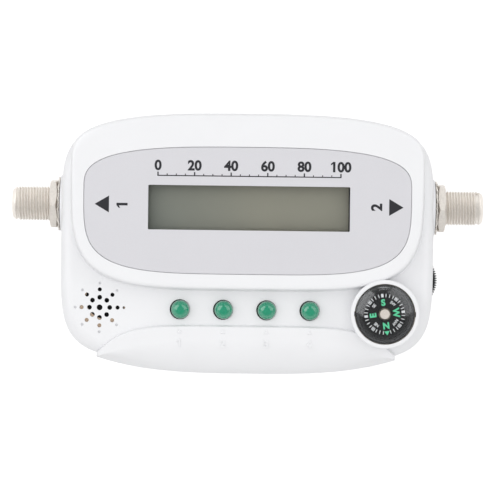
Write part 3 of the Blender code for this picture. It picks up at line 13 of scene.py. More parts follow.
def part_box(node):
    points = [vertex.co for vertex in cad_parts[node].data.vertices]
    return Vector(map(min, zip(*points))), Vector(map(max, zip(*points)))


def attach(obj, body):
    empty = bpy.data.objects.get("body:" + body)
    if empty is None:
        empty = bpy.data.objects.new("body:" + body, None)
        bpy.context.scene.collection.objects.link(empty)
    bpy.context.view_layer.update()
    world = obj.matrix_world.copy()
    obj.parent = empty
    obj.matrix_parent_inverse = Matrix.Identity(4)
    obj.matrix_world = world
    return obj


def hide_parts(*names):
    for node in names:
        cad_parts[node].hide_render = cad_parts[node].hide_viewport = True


bl_info = {
    "name": "Signal Meter Dressing",
    "version": (1, 0, 0),
    "blender": (4, 5, 0),
    "location": "View3D > Sidebar > Meter",
    "description": "Models the shells, label, lamps, compass and ports of a signal meter",
    "category": "Object",
}

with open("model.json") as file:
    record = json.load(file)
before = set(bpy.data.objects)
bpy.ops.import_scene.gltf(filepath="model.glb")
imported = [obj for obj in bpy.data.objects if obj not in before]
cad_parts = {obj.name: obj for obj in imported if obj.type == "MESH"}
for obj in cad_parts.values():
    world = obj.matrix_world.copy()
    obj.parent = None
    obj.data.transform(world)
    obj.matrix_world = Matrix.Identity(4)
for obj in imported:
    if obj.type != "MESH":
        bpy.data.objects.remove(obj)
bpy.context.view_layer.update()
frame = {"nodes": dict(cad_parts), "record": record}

# Pieces are modelled in millimetres, and finish_piece turns them into metres
MM = 0.001
OUTLINE_STEPS = 224
LIP_STEPS = 80
ROUND_STEPS = 96
WELD = 0.0005  # points that are closer than this become one
CUT = 1.5  # how far a cutter passes through a face


# Outlines, seen from the front


def egg(half_width, widest_y, top_y, top_power, bottom_y, bottom_power):
    """Outline of two half superellipses that meet on the line where they are widest."""

    def outline(inset=0.0):
        points = []
        for step in range(OUTLINE_STEPS):
            turn = math.tau * step / OUTLINE_STEPS
            across, along = math.cos(turn), math.sin(turn)
            power = top_power if along >= 0 else bottom_power
            reach = (top_y - widest_y if along >= 0 else widest_y - bottom_y) - inset
            x = math.copysign(abs(across) ** (2 / power), across) * (half_width - inset)
            y = math.copysign(abs(along) ** (2 / power), along) * reach
            points.append((x, widest_y + y))
        return points

    return outline


case_outline = egg(51.45, 4.3, 34.6, 5.0, -32.4, 5.8)
hood_outline = egg(48.7, 22.5, 35.9, 3.0, -12.9, 4.5)
label_outline = egg(44.75, 14.9, 26.4, 3.1, -8.25, 4.2)
LIP_TOP, LIP_TILT = -22.1, 0.1  # upper edge of the lip, and how steeply its face falls


def lip_outline(top_inset, bottom_inset, tip_inset):
    """Lens-shaped outline of the lip, from its right tip over the top and back underneath."""
    half_width, top_y, tip_y, bottom_y, tip_thickness = 41.3, LIP_TOP, -30.2, -35.9, 1.5
    tip_limit = min(bottom_inset, tip_thickness - top_inset - 0.4)
    upper, lower = [], []
    for step in range(LIP_STEPS + 1):
        x = (half_width - tip_inset) * math.cos(math.pi * step / LIP_STEPS)
        share = abs(x) / half_width
        upper.append((x, top_y - (top_y - tip_y) * share**6.0 - top_inset))
        rise = (tip_y - tip_thickness - bottom_y) * share**3.1
        inset = bottom_inset + (tip_limit - bottom_inset) * share**3.1
        lower.append((x, bottom_y + rise + inset))
    return upper + lower[::-1]


def circle(radius, steps, x=0.0, y=0.0):
    """Round outline."""
    turns = (math.tau * step / steps for step in range(steps))
    return [(x + radius * math.cos(turn), y + radius * math.sin(turn)) for turn in turns]


def soften(corners, steps=4):
    """Line through corners of (across, along), rolled over where they have a rounding as well."""
    points = []
    for index, (across, along, *rounding) in enumerate(corners):
        here = Vector((across, along))
        if not rounding:
            points.append(here)
            continue
        before = Vector(corners[index - 1][:2]) - here
        after = Vector(corners[(index + 1) % len(corners)][:2]) - here
        start = here + before.normalized() * min(rounding[0], before.length / 2)
        end = here + after.normalized() * min(rounding[0], after.length / 2)
        for step in range(steps + 1):
            share = step / steps
            points.append(start.lerp(here, share).lerp(here.lerp(end, share), share))
    return [(point.x, point.y) for point in points]


def toothed(steps, place_at):
    """Ring about Z, from a function that gives the radius and height at each step."""
    ring = []
    for step in range(steps):
        turn = math.tau * step / steps
        radius, height = place_at(step)
        ring.append((radius * math.cos(turn), radius * math.sin(turn), height))
    return ring


def plate(width, length, corner, x=0.0, y=0.0):
    """Outline of a rectangle with rounded corners."""
    signs = ((-1, -1), (1, -1), (1, 1), (-1, 1))
    return soften([(x + a * width / 2, y + b * length / 2, corner) for a, b in signs], 6)


def level(outline, height):
    """Flat ring of an outline at a height."""
    return [(x, y, height) for x, y in outline]


def between(outer, inner, share):
    """Outline part of the way from one outline to another."""
    pairs = zip(outer, inner)
    return [(a[0] + (b[0] - a[0]) * share, a[1] + (b[1] - a[1]) * share) for a, b in pairs]


def roll(power, steps):
    """Pairs of (share of the inset, share of the rise) that roll a wall over into a flat."""
    shares = []
    for step in range(steps + 1):
        turn = math.pi / 2 * step / steps
        across = abs(math.cos(turn)) ** (2 / power) if step < steps else 0.0
        shares.append((1 - across, math.sin(turn) ** (2 / power)))
    return shares


# Shapes, each a bmesh


def at(x, y, z=0.0):
    """Move to a place."""
    return Matrix.Translation((x, y, z))


def spun(turn):
    """Turn about Z."""
    return Matrix.Rotation(turn, 4, "Z")


def moved(shape, matrix):
    """The shape after a move, as it is passed on."""
    bmesh.ops.transform(shape, matrix=matrix, verts=shape.verts)
    return shape


def pile(rings, bridged=False):
    """Skin over a pile of rings, each drawn out of the one before, then capped or bridged."""
    shape = bmesh.new()
    steps = shape.verts.layers.int.new("step")
    ring = bmesh.ops.create_circle(shape, segments=len(rings[0]), radius=1.0)["verts"]
    for index, vert in enumerate(ring):
        vert[steps] = index
        vert.co = rings[0][index]
    first = edges = list(shape.edges)
    for places in rings[1:]:
        made = bmesh.ops.extrude_edge_only(shape, edges=edges)["geom"]
        ring = {item for item in made if isinstance(item, bmesh.types.BMVert)}
        lines = (item for item in made if isinstance(item, bmesh.types.BMEdge))
        edges = [item for item in lines if ring.issuperset(item.verts)]
        for vert in ring:
            vert.co = places[vert[steps]]
    if bridged:
        bmesh.ops.bridge_loops(shape, edges=first + edges)
    else:
        bmesh.ops.contextual_create(shape, geom=first)
        bmesh.ops.contextual_create(shape, geom=edges)
    bmesh.ops.recalc_face_normals(shape, faces=shape.faces)
    return shape


def ease_edges(shape, width, segments=2, angle=0.6):
    """Bevel every edge that turns by more than an angle."""
    pairs = (edge for edge in shape.edges if len(edge.link_faces) == 2)
    sharp = [edge for edge in pairs if edge.calc_face_angle() > angle]
    settings = {"profile": 0.5, "affect": "EDGES", "material": -1, "clamp_overlap": True}
    bmesh.ops.bevel(shape, geom=sharp, offset=width, segments=segments, **settings)


def prism(outline, low, high, ease=0.0):
    """Straight-sided solid of an outline, its sharp edges eased."""
    shape = pile([level(outline, low), level(outline, high)])
    if ease:
        ease_edges(shape, ease)
    return shape


def rod(radius, low, high, steps=32, x=0.0, y=0.0):
    """Upright round rod."""
    return prism(circle(radius, steps, x, y), low, high)


def block(width, length, height, x, y, z):
    """Plain box about a middle point."""
    shape = bmesh.new()
    scale = Matrix.Diagonal((width, length, height, 1.0))
    bmesh.ops.create_cube(shape, size=1.0, matrix=at(x, y, z) @ scale)
    return shape


def drawn(profile, closed):
    """Points and edges of a line of (radius, height) points above the X axis."""
    shape = bmesh.new()
    points = [shape.verts.new((radius, 0.0, height)) for radius, height in profile]
    ends = points[1:] + points[:1] if closed else points[1:]
    return shape, points, [shape.edges.new(pair) for pair in zip(points, ends)]


def spin(shape, geom, angle, steps, **settings):
    """Spin about Z."""
    about = {"cent": (0.0, 0.0, 0.0), "axis": (0.0, 0.0, 1.0)}
    made = bmesh.ops.spin(shape, geom=geom, angle=angle, steps=steps, **about, **settings)
    return made["geom_last"]


def turned(profile, steps=None):
    """Solid of revolution about Z of softened corners, closed if they are off the axis."""
    profile = soften(profile)
    off_axis = profile[0][0] != 0.0 or profile[-1][0] != 0.0
    shape, points, edges = drawn(profile, off_axis)
    spin(shape, points + edges, math.tau, steps or ROUND_STEPS, use_merge=True)
    bmesh.ops.remove_doubles(shape, verts=shape.verts, dist=WELD)
    bmesh.ops.recalc_face_normals(shape, faces=shape.faces)
    return shape


def helix(profile, pitch, turns, steps):
    """Solid ridge that winds about Z, from a closed profile of (radius, height) points."""
    shape, points, edges = drawn(profile, True)
    shape.faces.new(points)
    rise = (0.0, 0.0, pitch / steps)
    last = spin(shape, points + edges, math.tau * turns, int(steps * turns), dvec=rise)
    tail = [item for item in last if isinstance(item, bmesh.types.BMEdge)]
    bmesh.ops.contextual_create(shape, geom=tail)
    bmesh.ops.recalc_face_normals(shape, faces=shape.faces)
    return shape


def gather(shapes):
    """One bmesh that holds several shapes."""
    whole = bmesh.new()
    for shape in shapes:
        mesh = bpy.data.meshes.new("gathered")
        shape.to_mesh(mesh)
        shape.free()
        whole.from_mesh(mesh)
        bpy.data.meshes.remove(mesh)
    return whole


def lettering(text, height, thickness, weight=0.02):
    """Flat solid characters of a cap height, centred, with their faces up."""
    curve = bpy.data.curves.new("lettering", "FONT")
    curve.body = text
    curve.align_x = "CENTER"
    curve.size = height * MM / 0.72
    curve.extrude = thickness * MM / 2
    curve.offset = weight * height * MM
    curve.resolution_u = 6
    item = bpy.data.objects.new("lettering", curve)
    bpy.context.scene.collection.objects.link(item)
    graph = bpy.context.evaluated_depsgraph_get()
    mesh = bpy.data.meshes.new_from_object(item.evaluated_get(graph))
    shape = bmesh.new()
    shape.from_mesh(mesh)
    bpy.data.objects.remove(item)
    bpy.data.curves.remove(curve)
    bpy.data.meshes.remove(mesh)
    moved(shape, Matrix.Scale(1 / MM, 4))
    bmesh.ops.remove_doubles(shape, verts=shape.verts, dist=WELD)
    if text.startswith("1"):
        # The typeface has a plain stroke for this numeral, so it gets a flag
        left = min(vert.co.x for vert in shape.verts) + 0.02 * height
        corners = ((0.0, 1.0), (-0.24, 0.8), (-0.24, 0.64), (0.0, 0.8))
        flag = [(left + x * height, y * height) for x, y in corners]
        shape = gather([shape, prism(flag, -thickness / 2, thickness / 2)])
    return moved(shape, at(0.0, -height / 2))


# Pieces


def new_object(name, shape):
    """Object at the origin that holds a shape."""
    mesh = bpy.data.meshes.new(name)
    shape.to_mesh(mesh)
    shape.free()
    item = bpy.data.objects.new(name, mesh)
    bpy.context.scene.collection.objects.link(item)
    return item


def carve(item, shapes, operation="DIFFERENCE"):
    """Join shapes to an object, cut them away or keep what both share."""
    tool = new_object(item.name + "_tool", gather(shapes))
    step = item.modifiers.new("carve", "BOOLEAN")
    step.operation = operation
    step.solver = "EXACT"
    step.object = tool
    graph = bpy.context.evaluated_depsgraph_get()
    made = bpy.data.meshes.new_from_object(item.evaluated_get(graph))
    if not made.polygons:
        raise RuntimeError(f"nothing is left of {item.name}")
    old = item.data
    item.modifiers.clear()
    item.data = made
    made.name = item.name
    bpy.data.meshes.remove(old)
    bpy.data.objects.remove(tool, do_unlink=True)


def shape_of(item):
    """Take an object's shape out of the scene."""
    shape = bmesh.new()
    shape.from_mesh(item.data)
    bpy.data.objects.remove(item, do_unlink=True)
    return shape


def finish_piece(item, finish, stands_for=None, body="meter", sharp=32, weighted=False):
    """Give a piece its real size, finish, shading and body, and hide the solid it stands for."""
    item.data.transform(Matrix.Scale(MM, 4))
    item.data.materials.clear()
    item.data.materials.append(bpy.data.materials[finish])
    item.data.shade_smooth()
    item.data.set_sharp_from_angle(angle=math.radians(sharp))
    if weighted:
        step = item.modifiers.new("even shading", "WEIGHTED_NORMAL")
        step.keep_sharp = True
        step.weight = 100
    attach(item, body)
    if stands_for:
        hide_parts(stands_for)


def add_piece(name, shape, finish, stands_for=None, **options):
    """New finished piece of a shape."""
    finish_piece(new_object(name, shape), finish, stands_for, **options)


def box_of(node):
    """Least and greatest corner of a solid."""
    low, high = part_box(node)
    return low / MM, high / MM


def middle(node):
    """Middle of a solid's box."""
    low, high = box_of(node)
    return (low + high) / 2


def place_of(node):
    """Move to the upright axis of a solid."""
    centre = middle(node)
    return at(centre.x, centre.y)


# Finishes


def add_node(tree, kind, inputs=(), **settings):
    """New node with its settings and its inputs, each a value or a socket to link."""
    made = tree.nodes.new(kind)
    for name, value in settings.items():
        setattr(made, name, value)
    for name, value in dict(inputs).items():
        if isinstance(value, bpy.types.NodeSocket):
            tree.links.new(value, made.inputs[name])
        else:
            made.inputs[name].default_value = value
    return made


def maths(tree, operation, first, second):
    """Output of a Math node."""
    return add_node(tree, "ShaderNodeMath", {0: first, 1: second}, operation=operation).outputs[0]


def times(tree, first, second):
    """Product of two values."""
    return maths(tree, "MULTIPLY", first, second)


def mean(tree, first, second):
    """Half of the sum of two values."""
    return times(tree, maths(tree, "ADD", first, second), 0.5)


def mix_of(tree, factor, first, second):
    """Colour between two colours."""
    inputs = {0: factor, 6: first, 7: second}
    return add_node(tree, "ShaderNodeMix", inputs, data_type="RGBA").outputs[2]


def range_of(tree, value, low, high, start=0.0, end=1.0):
    """Value moved from one range to another."""
    inputs = {"Value": value, "From Min": start, "From Max": end, "To Min": low, "To Max": high}
    return add_node(tree, "ShaderNodeMapRange", inputs).outputs["Result"]


def noise_of(tree, place, size, detail=3.0, roughness=0.55):
    """Noise whose features have a size in metres."""
    scale = maths(tree, "DIVIDE", 1.0, size)
    inputs = {"Vector": place, "Scale": scale, "Detail": detail, "Roughness": roughness}
    return add_node(tree, "ShaderNodeTexNoise", inputs).outputs["Fac"]


def vector_of(tree, operation, first, second):
    """Outputs of a Vector Math node."""
    made = add_node(tree, "ShaderNodeVectorMath", {0: first, 1: second}, operation=operation)
    return made.outputs


COLOUR, NUMBER, VECTOR = "NodeSocketColor", "NodeSocketFloat", "NodeSocketVector"
SURFACE_INPUTS = (
    ("Colour", COLOUR, (0.8, 0.8, 0.8, 1.0)),
    ("Tint", COLOUR, (0.7, 0.7, 0.7, 1.0)),
    ("Tint Share", NUMBER, 0.5),
    ("Roughness", NUMBER, 0.4),
    ("Roughness Spread", NUMBER, 0.1),
    ("Grain Size", NUMBER, 0.2 * MM),
    ("Mottle Size", NUMBER, 12.0 * MM),
)
METRE_SOCKETS = ("Grain Size", "Mottle Size", "Low", "High")
GRAIN, METAL, FLAKES = "moulded grain", "worked metal", "film flakes"
TRACKS, AXIS_FADE = "board tracks", "axis fade"


def new_effect(name, more_inputs=()):
    """Empty shader node group with its inputs, and outputs for a colour, roughness and height."""
    group = bpy.data.node_groups.new(name, "ShaderNodeTree")
    for socket, kind, value in SURFACE_INPUTS + more_inputs:
        made = group.interface.new_socket(name=socket, in_out="INPUT", socket_type=kind)
        made.default_value = value
    for socket, kind in (("Colour", COLOUR), ("Roughness", NUMBER), ("Height", NUMBER)):
        group.interface.new_socket(name=socket, in_out="OUTPUT", socket_type=kind)
    entry = group.nodes.new("NodeGroupInput").outputs
    place = add_node(group, "ShaderNodeTexCoord").outputs["Object"]
    return group, entry, place


def tinted(group, entry, share):
    """Colour that a share takes towards the tint."""
    return mix_of(group, share, entry["Colour"], entry["Tint"])


def close_effect(group, entry, colour, mask, height):
    """Wire up an effect's outputs, with a roughness that a mask spreads about its middle."""
    spread = times(group, maths(group, "SUBTRACT", mask, 0.5), entry["Roughness Spread"])
    rough = maths(group, "ADD", entry["Roughness"], spread)
    add_node(group, "NodeGroupOutput", {"Colour": colour, "Roughness": rough, "Height": height})


def moulded_effect():
    """Spark-eroded grain and a faint mottle, as on moulded plastic."""
    group, entry, place = new_effect(GRAIN)
    grain = noise_of(group, place, entry["Grain Size"])
    mottle = noise_of(group, place, entry["Mottle Size"], 2.0)
    share = times(group, range_of(group, mottle, 0.0, 1.0, 0.3, 0.7), entry["Tint Share"])
    close_effect(group, entry, tinted(group, entry, share), mean(group, grain, mottle), grain)


def metal_effect():
    """Turning lines along one axis, with a cloudy tarnish."""
    group, entry, place = new_effect(METAL, (("Stretch", VECTOR, (1.0, 1.0, 1.0)),))
    stretched = vector_of(group, "MULTIPLY", place, entry["Stretch"])[0]
    lines = noise_of(group, stretched, entry["Grain Size"], 4.0, 0.7)
    cloud = noise_of(group, place, entry["Mottle Size"], 4.0)
    specks = noise_of(group, place, 0.45 * MM, 2.0)
    mask = times(group, cloud, range_of(group, specks, 0.4, 1.2, 0.35, 0.65))
    share = times(group, range_of(group, mask, 0.0, 1.0, 0.3, 0.65), entry["Tint Share"])
    close_effect(group, entry, tinted(group, entry, share), mean(group, lines, cloud), lines)


def flake_effect():
    """Tiny metal flakes in a printed film, each turned its own way."""
    group, entry, place = new_effect(FLAKES)
    scale = maths(group, "DIVIDE", 1.0, entry["Grain Size"])
    cells = add_node(group, "ShaderNodeTexVoronoi", {"Vector": place, "Scale": scale})
    flakes = add_node(group, "ShaderNodeSeparateColor", {0: cells.outputs["Color"]}).outputs[0]
    mottle = noise_of(group, place, entry["Mottle Size"], 2.0)
    share = times(group, mean(group, flakes, mottle), entry["Tint Share"])
    close_effect(group, entry, tinted(group, entry, share), flakes, mottle)


def board_effect():
    """Copper tracks under the lacquer of a circuit board."""
    group, entry, place = new_effect(TRACKS)
    inputs = {
        "Vector": vector_of(group, "MULTIPLY", place, (1.0, 1.0, 0.0))[0],
        "Scale": maths(group, "DIVIDE", 1.0, entry["Mottle Size"]),
        "Mortar Size": 0.06,
        "Mortar Smooth": 0.2,
        "Brick Width": 0.9,
        "Row Height": 0.24,
    }
    tracks = add_node(group, "ShaderNodeTexBrick", inputs, offset=0.37).outputs["Fac"]
    weave = noise_of(group, place, entry["Grain Size"])
    base = tinted(group, entry, times(group, tracks, entry["Tint Share"]))
    colour = mix_of(group, range_of(group, weave, 0.0, 0.25), base, (0.08, 0.06, 0.04, 1.0))
    close_effect(group, entry, colour, weave, maths(group, "ADD", tracks, weave))


def depth_effect():
    """Colour that clears from one place to another along an axis; on the lamps it is painted shade,
    darkest low on each dome towards its rim.
    """
    span = (("Low", NUMBER, 25.0 * MM), ("High", NUMBER, 27.9 * MM))
    group, entry, place = new_effect(AXIS_FADE, (("Axis", VECTOR, (0.0, 0.0, 1.0)), *span))
    along = vector_of(group, "DOT_PRODUCT", place, entry["Axis"])["Value"]
    rise = range_of(group, along, 0.0, 1.0, entry["Low"], entry["High"])
    swirl = noise_of(group, place, entry["Mottle Size"], 2.0)
    share = times(group, maths(group, "SUBTRACT", 1.0, rise), entry["Tint Share"])
    share = maths(group, "ADD", share, range_of(group, swirl, -0.1, 0.1))
    grain = noise_of(group, place, entry["Grain Size"])
    close_effect(group, entry, tinted(group, entry, share), grain, grain)


FINISH_SLOTS = {}  # the record's slot of each finish, which make_finish fills in


def make_finish(name, slot, effect, colour, tint, roughness, bump, more=()):
    """Material that an effect feeds; the tint is a colour or a share of the colour."""
    FINISH_SLOTS[name] = slot
    if isinstance(tint, float):
        tint = [channel * tint for channel in colour[:3]]
    finish = bpy.data.materials.new(name)
    finish.use_nodes = True
    tree = finish.node_tree
    tree.nodes.clear()
    source = add_node(tree, "ShaderNodeGroup", node_tree=bpy.data.node_groups[effect])
    values = {"Colour": (*colour[:3], 1.0), "Tint": (*tint, 1.0), "Roughness": roughness}
    shader = {}
    for socket, value in (values | dict(more)).items():
        if socket in source.inputs:
            source.inputs[socket].default_value = value * MM if socket in METRE_SOCKETS else value
        else:
            shader[socket] = value
    made = source.outputs
    bump_inputs = {"Height": made["Height"], "Distance": bump * MM, "Strength": 1.0}
    normal = add_node(tree, "ShaderNodeBump", bump_inputs).outputs["Normal"]
    inputs = {"Base Color": made["Colour"], "Roughness": made["Roughness"], "Normal": normal}
    inputs |= shader
    if "Alpha" in inputs:
        # Clear plastic is a skin of gloss that lets the rest through, and grows where it turns away
        facing = add_node(tree, "ShaderNodeLayerWeight", {"Blend": 0.5}).outputs["Facing"]
        inputs["Alpha"] = range_of(tree, maths(tree, "POWER", facing, 5.0), inputs["Alpha"], 0.3)
    surface = add_node(tree, "ShaderNodeBsdfPrincipled", inputs).outputs["BSDF"]
    add_node(tree, "ShaderNodeOutputMaterial", {"Surface": surface})


# Sizes and colours that a user may change


def length(name, description, value):
    """Length property, from a default in millimetres."""
    value *= MM
    return FloatProperty(
        name=name, description=description, default=value, min=0.0, unit="LENGTH", precision=5
    )


def count(name, description, value):
    """Whole number property."""
    return IntProperty(name=name, description=description, default=value)


def colour(name, description, value):
    """Colour property."""
    limits = {"default": (*value, 1.0), "size": 4, "min": 0.0, "max": 1.0}
    return FloatVectorProperty(name=name, description=description, subtype="COLOR", **limits)


def sizes_of(group):
    """Values of a property group, its lengths in millimetres."""
    sizes = SimpleNamespace()
    for name in type(group).__annotations__:
        value = getattr(group, name)
        setattr(sizes, name, round(value / MM, 4) if isinstance(value, float) else value)
    return sizes


class MeterShellSizes(bpy.types.PropertyGroup):
    """Sizes of the two shells."""

    wall: length("Wall", "Thickness of both shells", 2.0)
    platform: length("Platform", "Height of the face that carries the lamps", 25.0)
    hood_face: length("Hood face", "Height of the hood's face", 30.2)
    lip_face: length("Lip face", "Height of the lip's upper edge", 26.6)
    shoulder: length("Shoulder", "Rounding of the front shoulder", 3.6)
    back_inset: length("Back inset", "Sideways reach of the rounding at the back", 3.8)
    back_rise: length("Back rise", "Height of the rounding at the back", 3.4)
    foot: length("Foot fillet", "Fillet where the hood leaves the platform", 0.2)
    hole_edge: length("Hole edge", "Easing round the holes in the face", 0.04)


class MeterFaceSizes(bpy.types.PropertyGroup):
    """Sizes of the label, the printed marks and the raised marks."""

    ink: length("Ink", "Height of the printed ink", 0.03)
    print_shift: length("Print shift", "How far the print sits to the right", 0.4)
    scale_height: length("Scale numbers", "Height of the scale's numbers", 2.7)
    numeral_height: length("Port numerals", "Height of the numerals by the port marks", 2.9)
    raised_height: length("Lamp numerals", "Height of the raised numerals under the lamps", 2.1)
    relief: length("Relief", "How far the raised marks stand out", 0.3)


class MeterCompassSizes(bpy.types.PropertyGroup):
    """Sizes of the compass card's marks."""

    letter_height: length("Letters", "Height of the four main letters", 1.7)
    small_height: length("Small letters", "Height of the letters between them", 0.8)
    tick_start: length("Tick start", "Inner radius of the ticks", 4.65)
    tick_end: length("Tick end", "Outer radius of the ticks", 5.6)


class MeterPortSizes(bpy.types.PropertyGroup):
    """Sizes of the ports and the gain wheel."""

    pitch: length("Thread pitch", "Pitch of the port thread", 0.794)
    depth: length("Thread depth", "Depth of the port thread", 0.46)
    washer_teeth: count("Washer teeth", "Teeth of each lock washer", 14)
    wheel_teeth: count("Wheel teeth", "Teeth of the gain wheel", 72)
    wheel_tooth: length("Wheel tooth", "Depth of the gain wheel's teeth", 0.7)


class MeterColours(bpy.types.PropertyGroup):
    """Colours of the main finishes."""

    shell: colour("Shell", "Moulded shells", (0.815, 0.818, 0.833))
    film: colour("Label film", "Silver-grey label", (0.73, 0.725, 0.757))
    ink: colour("Ink", "Printed marks", (0.018, 0.018, 0.023))
    display: colour("Display", "Display polariser", (0.246, 0.243, 0.195))
    lamp: colour("Lamps", "Tinted epoxy of the lamps", (0.02, 0.37, 0.205))
    mint: colour("Compass letters", "Letters of the compass card", (0.10, 0.74, 0.38))
    nickel: colour("Nickel", "Plated ports", (0.82, 0.775, 0.72))


GROUPS = (
    ("meter_shell", MeterShellSizes),
    ("meter_face", MeterFaceSizes),
    ("meter_compass", MeterCompassSizes),
    ("meter_ports", MeterPortSizes),
    ("meter_colours", MeterColours),
)


# Shared cutters and blanks of the two shells
SEAM_TOP, SEAM_BOTTOM = 14.15, 13.85
PORT_Y, PORT_HEIGHT = 10.7, 14.0
PAD_FACE = 52.0  # distance of the ports' seats from the middle of the meter
CASE_SCREWS = [f"cover_screw_{index}" for index in (1, 2, 3, 4)]
BOARD_SCREWS = ("board_screw_1", "board_screw_2")
LAMPS = ("lamp_1", "lamp_2", "lamp_3", "lamp_4")
GRILLE = (-40.4, -17.9)  # middle of the sound holes
HOOD_ROLL = 3.6  # height that the hood's rolled edge takes


def lying(shape, side):
    """Turn a shape from Z to point out of the left or right side, about the ports' axis."""
    return moved(shape, at(0.0, PORT_Y, PORT_HEIGHT) @ Matrix.Rotation(side * math.pi / 2, 4, "Y"))


def add_pads(shell):
    """Add round pads that give the port washers a flat seat."""
    pad = ((0.0, 48.0), (8.0, 48.0), (8.0, PAD_FACE, 0.25), (0.0, PAD_FACE))
    carve(shell, [lying(turned(pad), side) for side in (-1, 1)], "UNION")


def open_sides(shell):
    """Cut seats for the ports' flanges, holes for the ports and a slot for the gain wheel."""
    for radius, low, high in ((6.5, 45.0, PAD_FACE - 2.15), (5.06, 46.0, 55.0)):
        carve(shell, [lying(rod(radius, low, high, 48), side) for side in (-1, 1)])
    low, high = box_of("gain_wheel")
    gap = 0.5
    radius = (high.x - low.x) / 2 + gap
    slot = rod(radius, low.z - gap, high.z + gap, ROUND_STEPS)
    carve(shell, [moved(slot, place_of("gain_wheel"))])


def slab(low, high):
    """Block that is wider than the meter, between two heights."""
    return block(300.0, 300.0, high - low, 0.0, 0.0, (low + high) / 2)


def rods_at(nodes, radius, low, high, steps):
    """Rods on the upright axes of some solids."""
    return [moved(rod(radius, low, high, steps), place_of(node)) for node in nodes]


def case_pile(sizes, low, shrink, top):
    """Body of the front shell, or its hollow when shrunk by a wall."""
    rings = [level(case_outline(shrink), low)]
    for inset, rise in roll(2.0, 8):
        outline = case_outline(shrink + sizes.shoulder * inset)
        rings.append(level(outline, top - sizes.shoulder * (1 - rise)))
    return pile(rings)


def foot_ring(reach, height):
    """Ring of the hood's foot, which flares out where it stands on the platform."""
    places = []
    for near, far in zip(hood_outline(), hood_outline(-reach)):
        share = min(1.0, max(0.0, (16.0 - near[1]) / 8.0))
        x, y = (a + (b - a) * share for a, b in zip(near, far))
        places.append((x, y, height))
    return places


def hood_pile(sizes, low):
    """Hood with its foot fillet, its rolled edge and the recess for the label."""
    face, foot, platform = sizes.hood_face, sizes.foot, sizes.platform
    rings = [level(hood_outline(), low), foot_ring(foot, platform - foot)]
    for step in range(6):
        turn = math.pi / 2 * step / 5
        reach = foot * (1 - math.sin(turn))
        rings.append(foot_ring(reach, platform + foot * (1 - math.cos(turn))))
    wall, crown = hood_outline(0.4), label_outline(-0.8)
    for inset, rise in roll(7.0, 16):
        rings.append(level(between(wall, crown, inset), face - HOOD_ROLL * (1 - rise)))
    for reach, depth in ((0.2, 0.0), (0.12, 0.1), (0.12, 1.0)):
        rings.append(level(label_outline(-reach), face - depth))
    return pile(rings)


def hood_hollow(wall):
    """Inside of the hood."""
    outer, inner = hood_outline(wall + 0.4), label_outline(wall - 0.8)
    rings = [level(hood_outline(wall), 11.0)]
    for inset, rise in roll(2.8, 5):
        rings.append(level(between(outer, inner, inset), 28.0 - HOOD_ROLL * (1 - rise)))
    return pile(rings)


def lip_pile(sizes, low, shrink, tip_inset):
    """Lip, whose face falls towards its edge."""
    step, reach, drop = 0.9, 9.5 - 1.25 * shrink, 5.2
    rings = [level(lip_outline(shrink + step, shrink + 4.2, tip_inset), low)]
    for inset, rise in roll(2.0, 8):
        near = step * inset
        outline = lip_outline(shrink + near, shrink + reach * inset, tip_inset + near)
        height = sizes.lip_face - shrink - drop * (1 - rise)
        rings.append([(x, y, height + lip_fall(y)) for x, y in outline])
    return pile(rings)


def lip_fall(y):
    """How far the lip's face has fallen at a place."""
    return (y - LIP_TOP) * LIP_TILT


